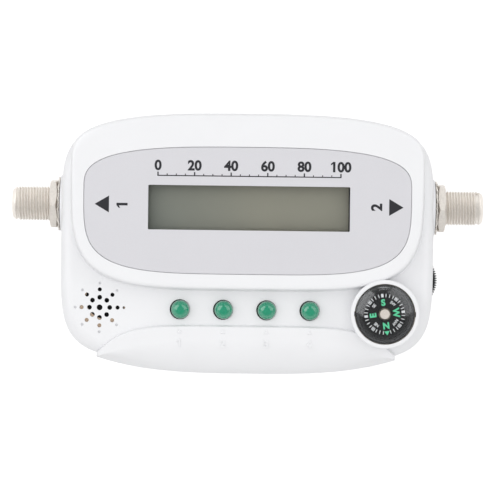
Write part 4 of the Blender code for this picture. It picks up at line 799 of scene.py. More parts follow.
def finish_rows(look):
    """Rows for make_finish, of which the first in each slot goes to the solids inside."""
    silver, clear, glass = "silver_label", "clear_plastic", "display_glass"
    black, nickel = "black_plastic", "nickel"
    skin = {"Metallic": 1.0, "Roughness Spread": 0.02, "Grain Size": 3.0}
    fade, milky, bare = {"Tint Share": 1.0}, {"Subsurface Weight": 0.1}, {"Metallic": 1.0}
    fades_along = {"Axis": (1.0, 0.3, 0.0), "Low": -28.0, "High": 8.0, "Mottle Size": 14.0}
    epoxy = {"Transmission Weight": 0.25, "IOR": 1.5, "Specular IOR Level": 1.0}
    epoxy |= {"Coat Weight": 0.45, "Coat Roughness": 0.06, "Roughness Spread": 0.04}
    return (
        ("white shell", "white_case", GRAIN, look.shell, 0.965, 0.34, 0.006, {"Grain Size": 0.16}),
        ("silver film", silver, FLAKES, look.film, 0.86, 0.42, 0.002,
         {"Metallic": 0.2, "Grain Size": 0.09}),
        ("dark ink", silver, GRAIN, look.ink, 1.5, 0.5, 0.003),
        ("clear window", clear, GRAIN, (0.9, 0.92, 0.92), (0.86, 0.88, 0.88), 0.12, 0.0001,
         {**skin, "Alpha": 0.02}),
        ("clear dome", clear, GRAIN, (0.93, 0.95, 0.97), (0.9, 0.92, 0.94), 0.09, 0.0001,
         {**skin, "Alpha": 0.045}),
        # The display darkens and turns greener towards its left, and a little towards the bottom
        ("display polariser", glass, AXIS_FADE, look.display, (0.165, 0.182, 0.16), 0.3, 0.001,
         {**fade, **fades_along, "Specular IOR Level": 0.3}),
        ("pane glass", glass, GRAIN, (0.55, 0.62, 0.58), (0.5, 0.57, 0.53), 0.08, 0.0005,
         {"Transmission Weight": 0.6, "IOR": 1.52}),
        ("milky diffuser", "backlight_plastic", GRAIN, (0.8, 0.84, 0.76), (0.74, 0.78, 0.7), 0.5,
         0.003, milky),
        ("black plastic", black, GRAIN, (0.018, 0.018, 0.02), (0.028, 0.028, 0.03), 0.5, 0.01,
         {"Specular IOR Level": 0.3}),
        ("capsule black", black, GRAIN, (0.007, 0.007, 0.008), (0.012, 0.012, 0.014), 0.5, 0.004,
         {"Specular IOR Level": 0.1}),
        ("white ink", black, GRAIN, (0.82, 0.84, 0.86), (0.7, 0.73, 0.76), 0.55, 0.004),
        ("mint ink", black, GRAIN, look.mint, 0.8, 0.55, 0.004),
        # Painted shade: the lamps' green darkens below 26.9 mm, deepest low on each dome near its
        # rim
        ("green epoxy", "green_lamp", AXIS_FADE, look.lamp, 0.35, 0.1, 0.001,
         {**fade, **epoxy, "Low": 25.1, "High": 26.9, "Mottle Size": 4.0}),
        ("nickel plate", nickel, METAL, look.nickel, 0.8, 0.42, 0.003,
         {"Metallic": 0.5, "Roughness Spread": 0.16, "Grain Size": 1.2, "Mottle Size": 3.0,
          "Stretch": (8.0, 1.0, 1.0)}),
        ("cap silver", nickel, METAL, (0.79, 0.715, 0.655), (0.69, 0.625, 0.565), 0.4, 0.01,
         {"Metallic": 0.2, "Grain Size": 0.3, "Mottle Size": 1.5}),
        # Brass with a cloudy tarnish; on the cap's collar its darkness is partly painted shade
        ("aged brass and painted shade", nickel, METAL, (0.26, 0.22, 0.16), (0.05, 0.04, 0.03), 0.45, 0.02,
         {**fade, "Metallic": 0.8, "Mottle Size": 1.2}),
        ("tinned sheet", "tinned_steel", METAL, (0.62, 0.63, 0.64), (0.5, 0.5, 0.51), 0.35, 0.004,
         {**bare, "Grain Size": 0.6, "Stretch": (0.1, 1.0, 1.0)}),
        ("zinc screw", "zinc_steel", METAL, (0.55, 0.56, 0.58), (0.42, 0.42, 0.4), 0.34, 0.006,
         {**bare, "Grain Size": 0.3, "Mottle Size": 2.0}),
        ("port insulator", "insulator", GRAIN, (0.84, 0.84, 0.8), (0.76, 0.75, 0.7), 0.45, 0.005,
         milky),
        ("tan laminate", "tan_board", TRACKS, (0.36, 0.26, 0.17), (0.45, 0.34, 0.22), 0.5, 0.02,
         {"Mottle Size": 9.0}),
        ("tan gauze", "tan_board", GRAIN, (0.72, 0.56, 0.42), (0.5, 0.38, 0.27), 0.9, 0.05,
         {"Grain Size": 0.1, "Mottle Size": 0.5}),
        ("green laminate", "green_board", TRACKS, (0.02, 0.17, 0.06), (0.06, 0.28, 0.1), 0.3, 0.02,
         {"Mottle Size": 7.0}),
        ("chip epoxy", "chip_black", GRAIN, (0.026, 0.026, 0.027), (0.035, 0.035, 0.036), 0.62,
         0.01),
        ("bare aluminium", "aluminium", METAL, (0.72, 0.73, 0.74), (0.6, 0.6, 0.62), 0.3, 0.004,
         {**bare, "Stretch": (1.0, 1.0, 0.1)}),
        ("enamelled copper", "copper", METAL, (0.72, 0.36, 0.18), (0.55, 0.24, 0.1), 0.25, 0.02,
         {**bare, "Coat Weight": 0.5, "Grain Size": 0.4, "Stretch": (0.1, 0.1, 3.0)}),
    )


class METER_OT_finishes(bpy.types.Operator):
    """Make every finish and give the solids inside the meter theirs."""

    bl_idname = "meter.finishes"
    bl_label = "Finishes"

    def execute(self, context):
        for effect in (moulded_effect, metal_effect, flake_effect, board_effect, depth_effect):
            effect()
        for row in finish_rows(context.scene.meter_colours):
            make_finish(*row)
        by_slot = {}
        for finish, slot in FINISH_SLOTS.items():
            by_slot.setdefault(slot, finish)
        for part in frame["record"]["subparts"]:
            for slot in frame["nodes"][part["node"]].material_slots:
                slot.material = bpy.data.materials[by_slot[part["material_slot"]]]
        return {"FINISHED"}


class METER_OT_front_shell(bpy.types.Operator):
    """Model the front shell with its hood, lip, compass boss and openings."""

    bl_idname = "meter.front_shell"
    bl_label = "Front shell"

    def execute(self, context):
        sizes = sizes_of(context.scene.meter_shell)
        wall, platform = sizes.wall, sizes.platform
        place = place_of("compass_cup")
        shell = new_object("front_shell", case_pile(sizes, 12.5, 0.0, platform))
        boss = ((0.0, 21.4), (9.4, 21.4), (9.4, 31.0, 0.3), (0.0, 31.0))
        for shape in (
            hood_pile(sizes, 11.0),
            lip_pile(sizes, 11.8, 0.0, 0.0),
            moved(turned(boss), place),
        ):
            carve(shell, [shape], "UNION")
        add_pads(shell)
        carve(shell, [slab(-2.0, SEAM_TOP)])

        hollow = new_object("hollow", case_pile(sizes, 12.5, wall, platform - wall))
        for shape in (hood_hollow(wall), lip_pile(sizes, 11.8, wall, 14.0)):
            carve(hollow, [shape], "UNION")
        carve(hollow, rods_at(("compass_cup",), 9.4, 22.7, 31.0, 48))
        posts = rods_at(CASE_SCREWS, 3.2, 9.0, 31.0, 24)
        carve(hollow, posts + rods_at(BOARD_SCREWS, 2.2, 19.3, 31.0, 24))
        carve(shell, [shape_of(hollow)])
        open_sides(shell)
        carve(shell, [rod(7.6, platform - 3.5, platform - 1.0, 48, *GRILLE)])
        carve(shell, self.face_cuts(sizes, place))
        notches = [moved(block(0.3, 1.4, 3.0, x, 0.0, 31.3), place) for x in (-8.28, 8.28)]
        carve(shell, notches)
        finish_piece(shell, "white shell", "front_cover", weighted=True)
        return {"FINISHED"}

    def face_cuts(self, sizes, place):
        """Openings for the display, the lamps, the sound, the compass and the screws."""
        platform, edge = sizes.platform, sizes.hole_edge
        view = middle("display_window")
        cuts = [prism(plate(57.9, 15.0, 0.3, view.x, view.y), 26.5, 32.0)]
        radius, high = 2.76, platform + CUT
        hole = ((0.0, 21.5), (radius, 21.5), (radius, platform - edge), (radius + edge, platform))
        hole += ((radius + edge + CUT, high), (0.0, high))
        cuts += [moved(turned(hole, 48), place_of(name)) for name in LAMPS]
        cuts += self.sound_cuts(platform)
        bore = ((0.0, 21.2), (6.4, 21.2), (6.4, 24.1), (8.28, 24.1), (8.28, 30.88), (8.4, 31.0))
        cuts.append(moved(turned((*bore, (8.9, 31.5), (0.0, 31.5))), place))
        cuts += rods_at(CASE_SCREWS, 1.6, 12.0, 21.3, 16)
        return cuts + rods_at(BOARD_SCREWS, 1.1, 17.5, 22.3, 16)

    def sound_cuts(self, platform):
        """Starburst of sound holes, whose outermost ones are dimples but for the right one."""
        x, y = GRILLE
        low, high = platform - 3.5, platform + CUT
        cuts = [rod(0.8, low, high, 24, x, y)]
        for distance, radius in ((2.78, 0.66), (4.95, 0.57), (6.7, 0.38)):
            for arm in range(8):
                turn = math.tau * arm / 8
                base = platform - 0.55 if distance > 6.0 and arm > 0 else low
                hole = (x + distance * math.cos(turn), y + distance * math.sin(turn))
                cuts.append(rod(radius, base, high, 20, *hole))
        return cuts


class METER_OT_sound_gauze(bpy.types.Operator):
    """Lay a gauze behind the sound holes that the buzzer leaves open."""

    bl_idname = "meter.sound_gauze"
    bl_label = "Sound gauze"

    def execute(self, context):
        high = sizes_of(context.scene.meter_shell).platform - 1.05
        gauze = new_object("gauze", rod(7.4, high - 0.2, high, 48, *GRILLE))
        carve(gauze, rods_at(("buzzer",), 5.5, high - CUT, high + CUT, 48))
        finish_piece(gauze, "tan gauze")
        return {"FINISHED"}


class METER_OT_rear_shell(bpy.types.Operator):
    """Model the rear shell with its screw tubes and the recess for the label."""

    bl_idname = "meter.rear_shell"
    bl_label = "Rear shell"

    def execute(self, context):
        sizes = sizes_of(context.scene.meter_shell)
        shell = new_object("rear_shell", self.bowl(sizes, 0.0, 8))
        add_pads(shell)
        carve(shell, [slab(SEAM_BOTTOM, 25.0)])
        hollow = new_object("hollow", self.bowl(sizes, sizes.wall, 5))
        ribs = [block(1.2, 14.4, 6.4, x, PORT_Y, 3.7) for x in (-30.0, 0.0, 30.0)]
        carve(hollow, rods_at(CASE_SCREWS, 4.4, 0.5, 20.0, 32) + ribs)
        carve(shell, [shape_of(hollow)])
        tube = ((0.0, -CUT), (3.5, -CUT), (3.15, 0.0), (2.9, 0.25), (2.9, 4.0), (1.6, 4.0))
        tube += ((1.6, 16.0), (0.0, 16.0))
        cuts = [moved(turned(tube, 48), place_of(node)) for node in CASE_SCREWS]
        carve(shell, [*cuts, prism(plate(62.6, 30.6, 1.8), -CUT, 0.8)])
        open_sides(shell)
        finish_piece(shell, "white shell", "rear_cover", weighted=True)
        return {"FINISHED"}

    def bowl(self, sizes, shrink, steps):
        """Rear shell from its back up past the seam, or its hollow when shrunk by a wall."""
        rings = []
        for inset, rise in reversed(roll(2.0, steps)):
            outline = case_outline(shrink + sizes.back_inset * inset)
            rings.append(level(outline, shrink + sizes.back_rise * (1 - rise)))
        return pile([*rings, level(case_outline(shrink), 15.5)])


class METER_OT_face_label(bpy.types.Operator):
    """Lay the silver film on the hood, with its scale and port marks."""

    bl_idname = "meter.face_label"
    bl_label = "Face label"

    def execute(self, context):
        sizes = sizes_of(context.scene.meter_face)
        shift, ink = sizes.print_shift, sizes.ink
        low, high = box_of("face_label")
        film = new_object("label_film", prism(label_outline(), low.z, high.z, 0.06))
        view = middle("display_window")
        opening = plate(55.2, 12.2, 0.35, view.x + shift, view.y)
        carve(film, [prism(opening, 28.0, 32.0)])
        finish_piece(film, "silver film", "face_label", weighted=True)
        top = high.z + ink / 2
        line_y, number_y, arrow_y = 18.5, 21.4, 10.5
        marks = []
        for step in range(21):
            x = -25.0 + 2.5 * step
            width, tall = (0.24, 0.5) if step % 4 else (0.36, 0.95)
            marks.append(block(width, tall, ink, x, line_y + 0.05 + tall / 2, top))
            if step % 4 == 0:
                number = lettering(str(5 * step), sizes.scale_height, ink, 0.05)
                marks.append(moved(number, at(x, number_y, top)))
        marks.append(block(50.36, 0.28, ink, 0.0, line_y, top))
        for side in (-1, 1):
            tip, back, half = side * 42.2, side * 38.3, 2.3
            arrow = ((tip, arrow_y), (back, arrow_y + half), (back, arrow_y - half))
            marks.append(prism(arrow, high.z, high.z + ink))
            number = lettering("1" if side < 0 else "2", sizes.numeral_height, ink, 0.05)
            marks.append(moved(number, at(side * 34.8, arrow_y, top) @ spun(math.pi / 2)))
        add_piece("label_marks", moved(gather(marks), at(shift, 0.0)), "dark ink")
        return {"FINISHED"}


class METER_OT_lip_marks(bpy.types.Operator):
    """Raise a triangle and a numeral on the lip under each lamp."""

    bl_idname = "meter.lip_marks"
    bl_label = "Lip marks"

    def execute(self, context):
        sizes = sizes_of(context.scene.meter_face)
        face, relief = sizes_of(context.scene.meter_shell).lip_face, sizes.relief
        tilt = Matrix.Rotation(math.atan(LIP_TILT), 4, "X")
        triangle = ((-0.75, 0.0), (0.75, 0.0), (0.0, 1.1))
        marks = []
        for index, name in enumerate(LAMPS, start=1):
            number = lettering(str(index), sizes.raised_height, 2 * relief, 0.05)
            for shape, y in ((prism(triangle, -relief, relief), -24.6), (number, -27.3)):
                ease_edges(shape, 0.1, 1, 1.2)
                marks.append(moved(shape, at(middle(name).x, y, face + lip_fall(y)) @ tilt))
        add_piece("lip_marks", gather(marks), "white shell")
        return {"FINISHED"}


class METER_OT_display(bpy.types.Operator):
    """Stack the two panes and the polariser of the display."""

    bl_idname = "meter.display"
    bl_label = "Display"

    def execute(self, context):
        low, high = box_of("display_glass")
        centre, size = (low + high) / 2, high - low
        film = high.z - 0.2  # underside of the polariser
        # Name, finish, how much narrower and shorter than the solid, shift along Y, rounding of
        # the corners, heights, easing of the edges and the solid that it stands for
        for name, finish, narrow, short, shift, corner, base, top, ease, node in (
            ("rear_pane", "pane glass", 0.0, 0.0, 0.0, 0.2, low.z, centre.z - 0.05, 0.05,
             "display_glass"),
            ("front_pane", "pane glass", 0.0, 1.6, -0.8, 0.2, centre.z, film, 0.05, None),
            ("polariser", "display polariser", 1.0, 2.6, -0.5, 0.3, film, high.z, 0.04, None),
        ):
            y = centre.y + shift
            outline = plate(size.x - narrow, size.y - short, corner, centre.x, y)
            add_piece("display_" + name, prism(outline, base, top, ease), finish, node)
        return {"FINISHED"}


class METER_OT_lamps(bpy.types.Operator):
    """Cast the four lamps round their lead frames."""

    bl_idname = "meter.lamps"
    bl_label = "Lamps"

    def execute(self, context):
        radius = 2.58
        rim = ((0.0, 19.3), (2.6, 19.3), (2.9, 19.3, 0.1), (2.9, 20.3, 0.15), (radius, 20.3, 0.1))
        profile = [*rim, (radius, 21.0)]
        for step in range(13):
            turn = math.pi / 2 * step / 12
            reach = radius * math.cos(turn) if step < 12 else 0.0
            profile.append((reach, 25.4 + 2.5 * math.sin(turn)))
        cup = ((0.0, 23.0), (0.7, 23.0), (1.1, 24.1), (0.9, 24.1), (0.5, 23.5), (0.0, 23.5))
        for name in LAMPS:
            place = place_of(name)
            lens = new_object(name + "_lens", moved(turned(profile, 48), place @ at(0.17, 0.0)))
            carve(lens, rods_at((name,), 2.66, 20.1, 24.1, 48), "UNION")
            finish_piece(lens, "green epoxy", name)
            low = 16.0
            legs = []
            for x, top in ((-1.27, 23.6), (1.27, 22.9)):
                legs.append(block(0.5, 0.5, top - low, x, 0.0, (top + low) / 2))
            legs.append(moved(turned(cup, 24), at(-0.4, 0.0)))
            add_piece(name + "_lead_frame", moved(gather(legs), place), "tinned sheet")
        return {"FINISHED"}


class METER_OT_compass_housing(bpy.types.Operator):
    """Turn the compass cup and its clear dome."""

    bl_idname = "meter.compass_housing"
    bl_label = "Compass housing"

    def execute(self, context):
        place = place_of("compass_cup")
        cup = ((0.0, 24.4), (8.1, 24.4, 0.3), (8.1, 29.2, 0.12), (7.3, 29.2, 0.12))
        cup = turned((*cup, (7.3, 25.2, 0.3), (0.0, 25.2)))
        add_piece("compass_bowl", moved(cup, place), "capsule black", "compass_cup")
        ring = turned(((8.13, 29.35), (8.24, 29.35), (8.24, 30.7, 0.03), (8.13, 30.6, 0.03)))
        add_piece("compass_rim_ring", moved(ring, place), "aged brass and painted shade")
        lugs = gather(block(0.2, 1.2, 1.1, x, 0.0, 30.4) for x in (-8.27, 8.27))
        add_piece("compass_lugs", moved(lugs, place), "capsule black")
        profile = [*self.crown(32.9, 7.7), (7.7, 29.5), (8.1, 29.5), *self.crown(33.4, 8.1)[::-1]]
        dome = moved(turned(profile), place)
        add_piece("compass_clear_dome", dome, "clear dome", "compass_dome", sharp=40)
        return {"FINISHED"}

    def crown(self, top, edge):
        """Points from the axis down to the edge of a dome, whose fall quickens towards the edge."""
        shares = (1 - (1 - step / 24) ** 1.3 for step in range(25))
        return [(edge * share, top - 2.1 * share**3.2) for share in shares]


class METER_OT_compass_card(bpy.types.Operator):
    """Make the swinging card with its letters, ticks and cap."""

    bl_idname = "meter.compass_card"
    bl_label = "Compass card"

    def execute(self, context):
        sizes = sizes_of(context.scene.meter_compass)
        low, high = box_of("compass_card")
        radius = (high.y - low.y) / 2
        card = ((0.9, low.z), (radius, low.z, 0.1), (radius, high.z, 0.1), (0.9, high.z, 0.05))
        ticks, letters = self.marks(sizes, high.z)
        base = box_of("compass_cap")[0].z
        cap = ((0.0, base + 0.55), (0.65, base + 0.55), (0.65, base), (1.34, base))
        cap += ((1.34, base + 1.1, 0.14), (0.28, base + 1.1, 0.05), (0.22, base + 1.02, 0.05))
        cap += ((0.0, base + 1.02),)
        # The collar is a real ring, and its dark colour is partly painted shade for the shadow
        # round the cap
        collar = ((1.34, base), (1.7, base, 0.08), (1.7, base + 0.5, 0.12), (1.34, base + 0.62))
        place = place_of("compass_card") @ spun(math.radians(188))
        for name, shape, finish, node in (
            ("card_disc", turned(card), "capsule black", "compass_card"),
            ("card_ticks", gather(ticks), "white ink", None),
            ("card_letters", gather(letters), "mint ink", None),
            ("card_cap", turned(cap, 64), "cap silver", "compass_cap"),
            ("card_collar", turned(collar, 64), "aged brass and painted shade", None),
        ):
            add_piece(name, moved(shape, place), finish, node, body="compass_card")
        return {"FINISHED"}

    def marks(self, sizes, face):
        """White ticks and small letters, and mint letters with the north mark."""
        ink = 0.03
        top = face + ink / 2
        start, end = sizes.tick_start, sizes.tick_end
        tip, base, half = end + 0.25, start + 0.05, 0.75
        ticks, letters = [], [prism(((0.0, tip), (-half, base), (half, base)), face, face + ink)]
        for step in range(1, 32):
            bars = ((0.0, 0.19),)
            if step % 8 == 0:
                bars = ((0.0, 0.66),)
            elif step % 8 == 4:
                bars = ((-0.34, 0.2), (0.0, 0.22), (0.34, 0.2))
            for x, width in bars:
                bar = block(width, end - start, ink, x, (start + end) / 2, top)
                ticks.append(moved(bar, spun(-math.tau * step / 32)))
        for step, text in enumerate(("N", "NE", "E", "SE", "S", "SW", "W", "NW")):
            group, height, distance, weight = letters, sizes.letter_height, 3.25, 0.065
            if step % 2:
                group, height, distance, weight = ticks, sizes.small_height, 3.7, 0.03
            letter = lettering(text, height, ink, weight)
            group.append(moved(letter, spun(-math.tau * step / 8) @ at(0.0, distance, top)))
        return ticks, letters


class METER_OT_ports(bpy.types.Operator):
    """Turn, thread and assemble the two coaxial ports."""

    bl_idname = "meter.ports"
    bl_label = "Ports"

    def execute(self, context):
        sizes = sizes_of(context.scene.meter_ports)
        for side, port in ((-1, "port_left_"), (1, "port_right_")):
            spans = {}
            for node in ("body", "nut", "washer", "insulator", "contact"):
                low, high = box_of(port + node)
                spans[node] = (low.x, high.x) if side > 0 else (-high.x, -low.x)
            tail, front = spans["insulator"]
            pin = spans["contact"][0]
            for name, shape, finish, node in (
                ("barrel", self.barrel(sizes, *spans["body"]), "nickel plate", "body"),
                ("hex_nut", self.nut(side, *spans["nut"]), "nickel plate", "nut"),
                ("star_washer", self.washer(sizes, spans["washer"][0]), "nickel plate", "washer"),
                ("bead", self.bead(tail, front), "port insulator", "insulator"),
                ("socket", self.socket(pin, tail), "nickel plate", "contact"),
            ):
                add_piece(port + name, lying(shape, side), finish, port + node)
        return {"FINISHED"}

    def barrel(self, sizes, back, tip):
        """Flange, threaded barrel and nose."""
        major = 4.76
        root = major - sizes.depth
        flange, nose = back + 1.4, tip - 1.2
        profile = ((2.9, back), (6.2, back, 0.2), (6.2, flange, 0.1), (root, flange))
        profile += ((root, nose - 0.12, 0.05), (4.58, nose + 0.05, 0.08), (4.5, nose + 0.4, 0.15))
        profile += ((3.85, tip, 0.3), (3.2, tip, 0.15), (2.9, tip - 0.3, 0.1))
        flank, crest, foot = 0.577, 0.1, root - 0.1
        base = crest + (major - foot) * flank
        ridge = ((foot, -base), (major, -crest), (major, crest), (foot, base))
        start = flange + base + 0.05
        turns = (nose - 0.1 - base - start) / sizes.pitch
        thread = moved(helix(ridge, sizes.pitch, turns, 48), at(0.0, 0.0, start))
        return gather([turned(profile, 72), thread])

    def nut(self, side, low, high):
        """Hexagon nut with chamfered corners."""
        low -= 0.1
        flat, fall, bore = 6.35, 0.65, 4.9
        corner = flat * 2 / math.sqrt(3)
        blank = prism(circle(corner, 6), low - CUT, high + CUT)
        nut = new_object("hexagon", moved(blank, spun(math.radians(side * 5.0))))
        inner, wide = flat - 0.1, corner + 0.3
        barrel = ((bore, low + 0.3), (5.2, low), (inner, low), (wide, low + fall))
        barrel += ((wide, high - fall), (inner, high), (5.2, high), (bore, high - 0.3))
        carve(nut, [turned(barrel, 96)], "INTERSECT")
        return shape_of(nut)

    def washer(self, sizes, low):
        """Dished lock washer with twisted teeth."""
        edge, depth, twist, tooth_steps = 7.45, 0.75, 0.09, 8
        profile = ((5.06, -0.1), (6.4, -0.05), (edge, 0.0), (edge, 0.4), (6.4, 0.35), (5.06, 0.3))

        def place_at(radius, height, phase):
            if radius == edge and phase in (1, 2, 3, 4):
                return radius, low + height + twist * (phase - 2.5) / 1.5
            return radius - (depth if radius == edge else 0.0), low + height

        steps = sizes.washer_teeth * tooth_steps
        rings = [
            toothed(steps, lambda step: place_at(radius, height, step % tooth_steps))
            for radius, height in profile
        ]
        return pile(rings, bridged=True)

    def bead(self, tail, front):
        """Insulator."""
        profile = ((1.4, tail), (2.6, tail, 0.1), (2.6, front, 0.12), (1.0, front, 0.1))
        return turned((*profile, (0.65, 64.5, 0.05), (0.65, 63.6), (1.4, 63.6)), 64)

    def socket(self, pin, tail):
        """Centre contact."""
        profile = ((0.0, pin), (0.4, pin, 0.1), (0.4, tail), (1.1, tail, 0.1), (1.1, 63.3, 0.1))
        return turned((*profile, (0.55, 63.3, 0.08), (0.55, 56.3), (0.0, 56.3)), 32)


class METER_OT_gain_wheel(bpy.types.Operator):
    """Mould the knurled gain wheel."""

    bl_idname = "meter.gain_wheel"
    bl_label = "Gain wheel"

    def execute(self, context):
        sizes = sizes_of(context.scene.meter_ports)
        low, high = box_of("gain_wheel")
        radius = (high.x - low.x) / 2 + 0.35

        tooth_steps = 6

        def knurl(inset, height):
            def place_at(step):
                wave = 0.5 - 0.5 * math.cos(math.tau * step / tooth_steps)
                return radius - inset - sizes.wheel_tooth * wave**2, height

            return toothed(sizes.wheel_teeth * tooth_steps, place_at)

        edge = ((0.45, 0.0), (0.1, 0.2), (0.0, 0.4))
        rings = [knurl(inset, low.z + rise) for inset, rise in edge]
        rings += [knurl(inset, high.z - rise) for inset, rise in edge[::-1]]
        wheel = new_object("knurled_wheel", moved(pile(rings), place_of("gain_wheel")))
        carve(wheel, rods_at(("gain_wheel",), 1.9, low.z - CUT, high.z + CUT, 32))
        finish_piece(wheel, "black plastic", "gain_wheel", body="gain_wheel", sharp=40)
        return {"FINISHED"}


class METER_OT_screws(bpy.types.Operator):
    """Make the four case screws."""

    bl_idname = "meter.screws"
    bl_label = "Screws"

    def execute(self, context):
        for index, node in enumerate(CASE_SCREWS, start=1):
            low, high = box_of(node)
            z = low.z
            profile = ((0.0, z), (1.5, z + 0.06, 0.4), (2.45, z + 0.7, 0.5), (2.6, z + 1.5, 0.1))
            profile += ((1.3, z + 1.5, 0.1), (1.3, high.z - 1.3, 0.1), (0.0, high.z))
            screw = new_object("blank", turned(profile, 48))
            for turn in (0.5 * index, 0.5 * index + math.pi / 2):
                carve(screw, [moved(self.arm(), at(0.0, 0.0, z - 0.1) @ spun(turn))])
            shape = moved(shape_of(screw), place_of(node))
            add_piece(f"case_screw_{index}", shape, "zinc screw", node)
        return {"FINISHED"}

    def arm(self):
        """Tapered arm of the cross in a screw's head."""
        shape = bmesh.new()
        cone = {"cap_ends": True, "segments": 4, "radius1": 1.0, "radius2": 0.45, "depth": 1.0}
        bmesh.ops.create_cone(shape, **cone, matrix=spun(math.pi / 4))
        return moved(shape, Matrix.Diagonal((2.2, 0.5, 2.4, 1.0)))


class METER_OT_rear_label(bpy.types.Operator):
    """Lay the blank label in its recess on the back."""

    bl_idname = "meter.rear_label"
    bl_label = "Rear label"

    def execute(self, context):
        low, high = box_of("rear_label")
        size, ink = high - low, 0.03
        film = prism(plate(size.x, size.y, 1.5), low.z, high.z, 0.05)
        add_piece("rear_film", film, "silver film", "rear_label")
        outer = plate(size.x - 3.0, size.y - 3.0, 1.0)
        inner = plate(size.x - 3.6, size.y - 3.6, 0.8)
        top, base = low.z, low.z - ink
        band = ((outer, base), (outer, top), (inner, top), (inner, base))
        marks = [pile([level(outline, height) for outline, height in band], bridged=True)]
        for y in (-6.0, 0.0, 6.0):
            marks.append(block(size.x - 10.0, 0.2, ink, 0.0, y, base + ink / 2))
        add_piece("rear_label_lines", gather(marks), "dark ink")
        return {"FINISHED"}


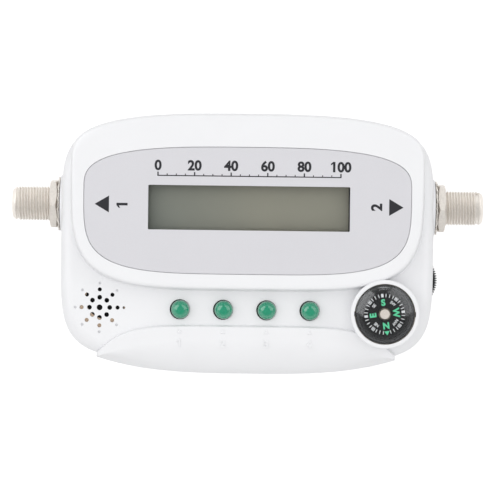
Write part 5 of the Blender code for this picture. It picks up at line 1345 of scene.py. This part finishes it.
class METER_OT_stage(bpy.types.Operator):
    """Set the floor, the light and the camera."""

    bl_idname = "meter.stage"
    bl_label = "Stage"

    def execute(self, context):
        scene = context.scene
        # The floor isn't a piece, so it is made in metres
        floor = bmesh.new()
        bmesh.ops.create_grid(floor, x_segments=1, y_segments=1, size=3.0)
        item = new_object("floor", moved(floor, at(0.0, 0.0, -0.05 * MM)))
        item.data.materials.append(self.paper())
        self.world(scene)
        self.lights(scene)
        camera = bpy.data.cameras.new("camera")
        camera.sensor_width = 36.0
        camera.lens = 189.7
        camera.clip_end = 20.0
        view = bpy.data.objects.new("camera", camera)
        view.location = (0.0008, -0.0016, 0.75)
        view.rotation_euler = (0.0, 0.0, math.radians(0.72))
        scene.collection.objects.link(view)
        scene.camera = view
        scene.view_settings.view_transform = "Standard"
        return {"FINISHED"}

    def lights(self, scene):
        """Softboxes that show as highlights, and fills that light only matt surfaces."""
        # Name, turn about Z from +X and lean from upright in degrees, width and height in metres,
        # watts and whether it shows as a highlight
        for name, turn, lean, size, power, highlight in (
            ("left softbox", 150.0, 56.0, (0.6, 0.4), 1.35, True),
            ("right softbox", 34.0, 56.0, (0.66, 0.4), 0.95, True),
            ("back softbox", 86.0, 64.0, (0.2, 0.05), 0.11, True),
            ("top fill", 270.0, 6.0, (0.5, 0.3), 0.52, False),
            ("left fill", 165.0, 55.0, (0.4, 0.3), 0.4, False),
            ("right fill", 15.0, 55.0, (0.4, 0.3), 0.22, False),
            ("back fill", 90.0, 60.0, (0.5, 0.3), 0.2, False),
            ("front fill", 270.0, 60.0, (0.5, 0.3), 0.08, False),
        ):
            lean = Matrix.Rotation(math.radians(lean), 3, "Y")
            aim = Matrix.Rotation(math.radians(turn), 3, "Z") @ lean
            light = bpy.data.lights.new(name, "AREA")
            light.shape = "RECTANGLE"
            light.size, light.size_y = size
            light.energy = power
            lamp = bpy.data.objects.new(name, light)
            lamp.location = aim @ Vector((0.0, 0.0, 0.55))
            lamp.rotation_euler = (aim @ Matrix.Rotation(math.pi / 2, 3, "Z")).to_euler()
            lamp.visible_camera = False
            lamp.visible_glossy = highlight
            lamp.visible_diffuse = not highlight
            scene.collection.objects.link(lamp)

    def paper(self):
        """White floor that glows for the camera and reflections, so only shadows show."""
        finish = bpy.data.materials.new("floor paper")
        finish.use_nodes = True
        tree = finish.node_tree
        tree.nodes.clear()
        matt = add_node(tree, "ShaderNodeBsdfDiffuse", {"Color": (0.62, 0.62, 0.62, 1.0)})
        rays = add_node(tree, "ShaderNodeLightPath").outputs
        seen = maths(tree, "MAXIMUM", rays["Is Camera Ray"], rays["Is Glossy Ray"])
        seen = maths(tree, "MAXIMUM", seen, rays["Is Transmission Ray"])
        glow = add_node(tree, "ShaderNodeEmission", {"Strength": times(tree, seen, 0.6)})
        both = add_node(tree, "ShaderNodeAddShader", {0: matt.outputs[0], 1: glow.outputs[0]})
        add_node(tree, "ShaderNodeOutputMaterial", {"Surface": both.outputs[0]})
        return finish

    def world(self, scene):
        """Surroundings that look white low down and dim overhead, and light mostly from above."""
        world = bpy.data.worlds.new("studio")
        world.use_nodes = True
        tree = world.node_tree
        tree.nodes.clear()
        rays = add_node(tree, "ShaderNodeLightPath").outputs
        place = add_node(tree, "ShaderNodeTexCoord").outputs["Object"]
        upward = add_node(tree, "ShaderNodeSeparateXYZ", {0: place}).outputs["Z"]
        strength = range_of(tree, upward, 0.54, 0.99)
        for name, overhead in (
            ("Is Glossy Ray", 0.24),
            ("Is Transmission Ray", 0.65),
            ("Is Camera Ray", 1.0),
        ):
            look = range_of(tree, upward, 1.0, overhead, 0.2, 0.65)
            share = {0: rays[name], 2: strength, 3: look}
            strength = add_node(tree, "ShaderNodeMix", share, data_type="FLOAT").outputs[0]
        white = {"Color": (1.0, 1.0, 1.0, 1.0), "Strength": strength}
        shader = add_node(tree, "ShaderNodeBackground", white)
        add_node(tree, "ShaderNodeOutputWorld", {"Surface": shader.outputs[0]})
        scene.world = world


OPERATORS = (
    METER_OT_finishes,
    METER_OT_front_shell,
    METER_OT_sound_gauze,
    METER_OT_rear_shell,
    METER_OT_face_label,
    METER_OT_lip_marks,
    METER_OT_display,
    METER_OT_lamps,
    METER_OT_compass_housing,
    METER_OT_compass_card,
    METER_OT_ports,
    METER_OT_gain_wheel,
    METER_OT_screws,
    METER_OT_rear_label,
    METER_OT_stage,
)


class METER_PT_dressing(bpy.types.Panel):
    """Lists the sizes and the steps of the meter."""

    bl_label = "Signal meter"
    bl_idname = "METER_PT_dressing"
    bl_space_type = "VIEW_3D"
    bl_region_type = "UI"
    bl_category = "Meter"

    def draw(self, context):
        for attribute, group in GROUPS:
            box = self.layout.box()
            for name in group.__annotations__:
                box.prop(getattr(context.scene, attribute), name)
        for operator in OPERATORS:
            self.layout.operator(operator.bl_idname)


def register():
    """Register the classes and hang the sizes on the scene."""
    for attribute, group in GROUPS:
        bpy.utils.register_class(group)
        setattr(bpy.types.Scene, attribute, PointerProperty(type=group))
    for item in (*OPERATORS, METER_PT_dressing):
        bpy.utils.register_class(item)


def unregister():
    """Take the classes and the sizes away again."""
    for item in reversed((*OPERATORS, METER_PT_dressing)):
        bpy.utils.unregister_class(item)
    for attribute, group in reversed(GROUPS):
        delattr(bpy.types.Scene, attribute)
        bpy.utils.unregister_class(group)


def main():
    """Run every step in order."""
    register()
    bpy.ops.meter.finishes()
    bpy.ops.meter.front_shell()
    bpy.ops.meter.sound_gauze()
    bpy.ops.meter.rear_shell()
    bpy.ops.meter.face_label()
    bpy.ops.meter.lip_marks()
    bpy.ops.meter.display()
    bpy.ops.meter.lamps()
    bpy.ops.meter.compass_housing()
    bpy.ops.meter.compass_card()
    bpy.ops.meter.ports()
    bpy.ops.meter.gain_wheel()
    bpy.ops.meter.screws()
    bpy.ops.meter.rear_label()
    bpy.ops.meter.stage()


if __name__ == "__main__":
    main()
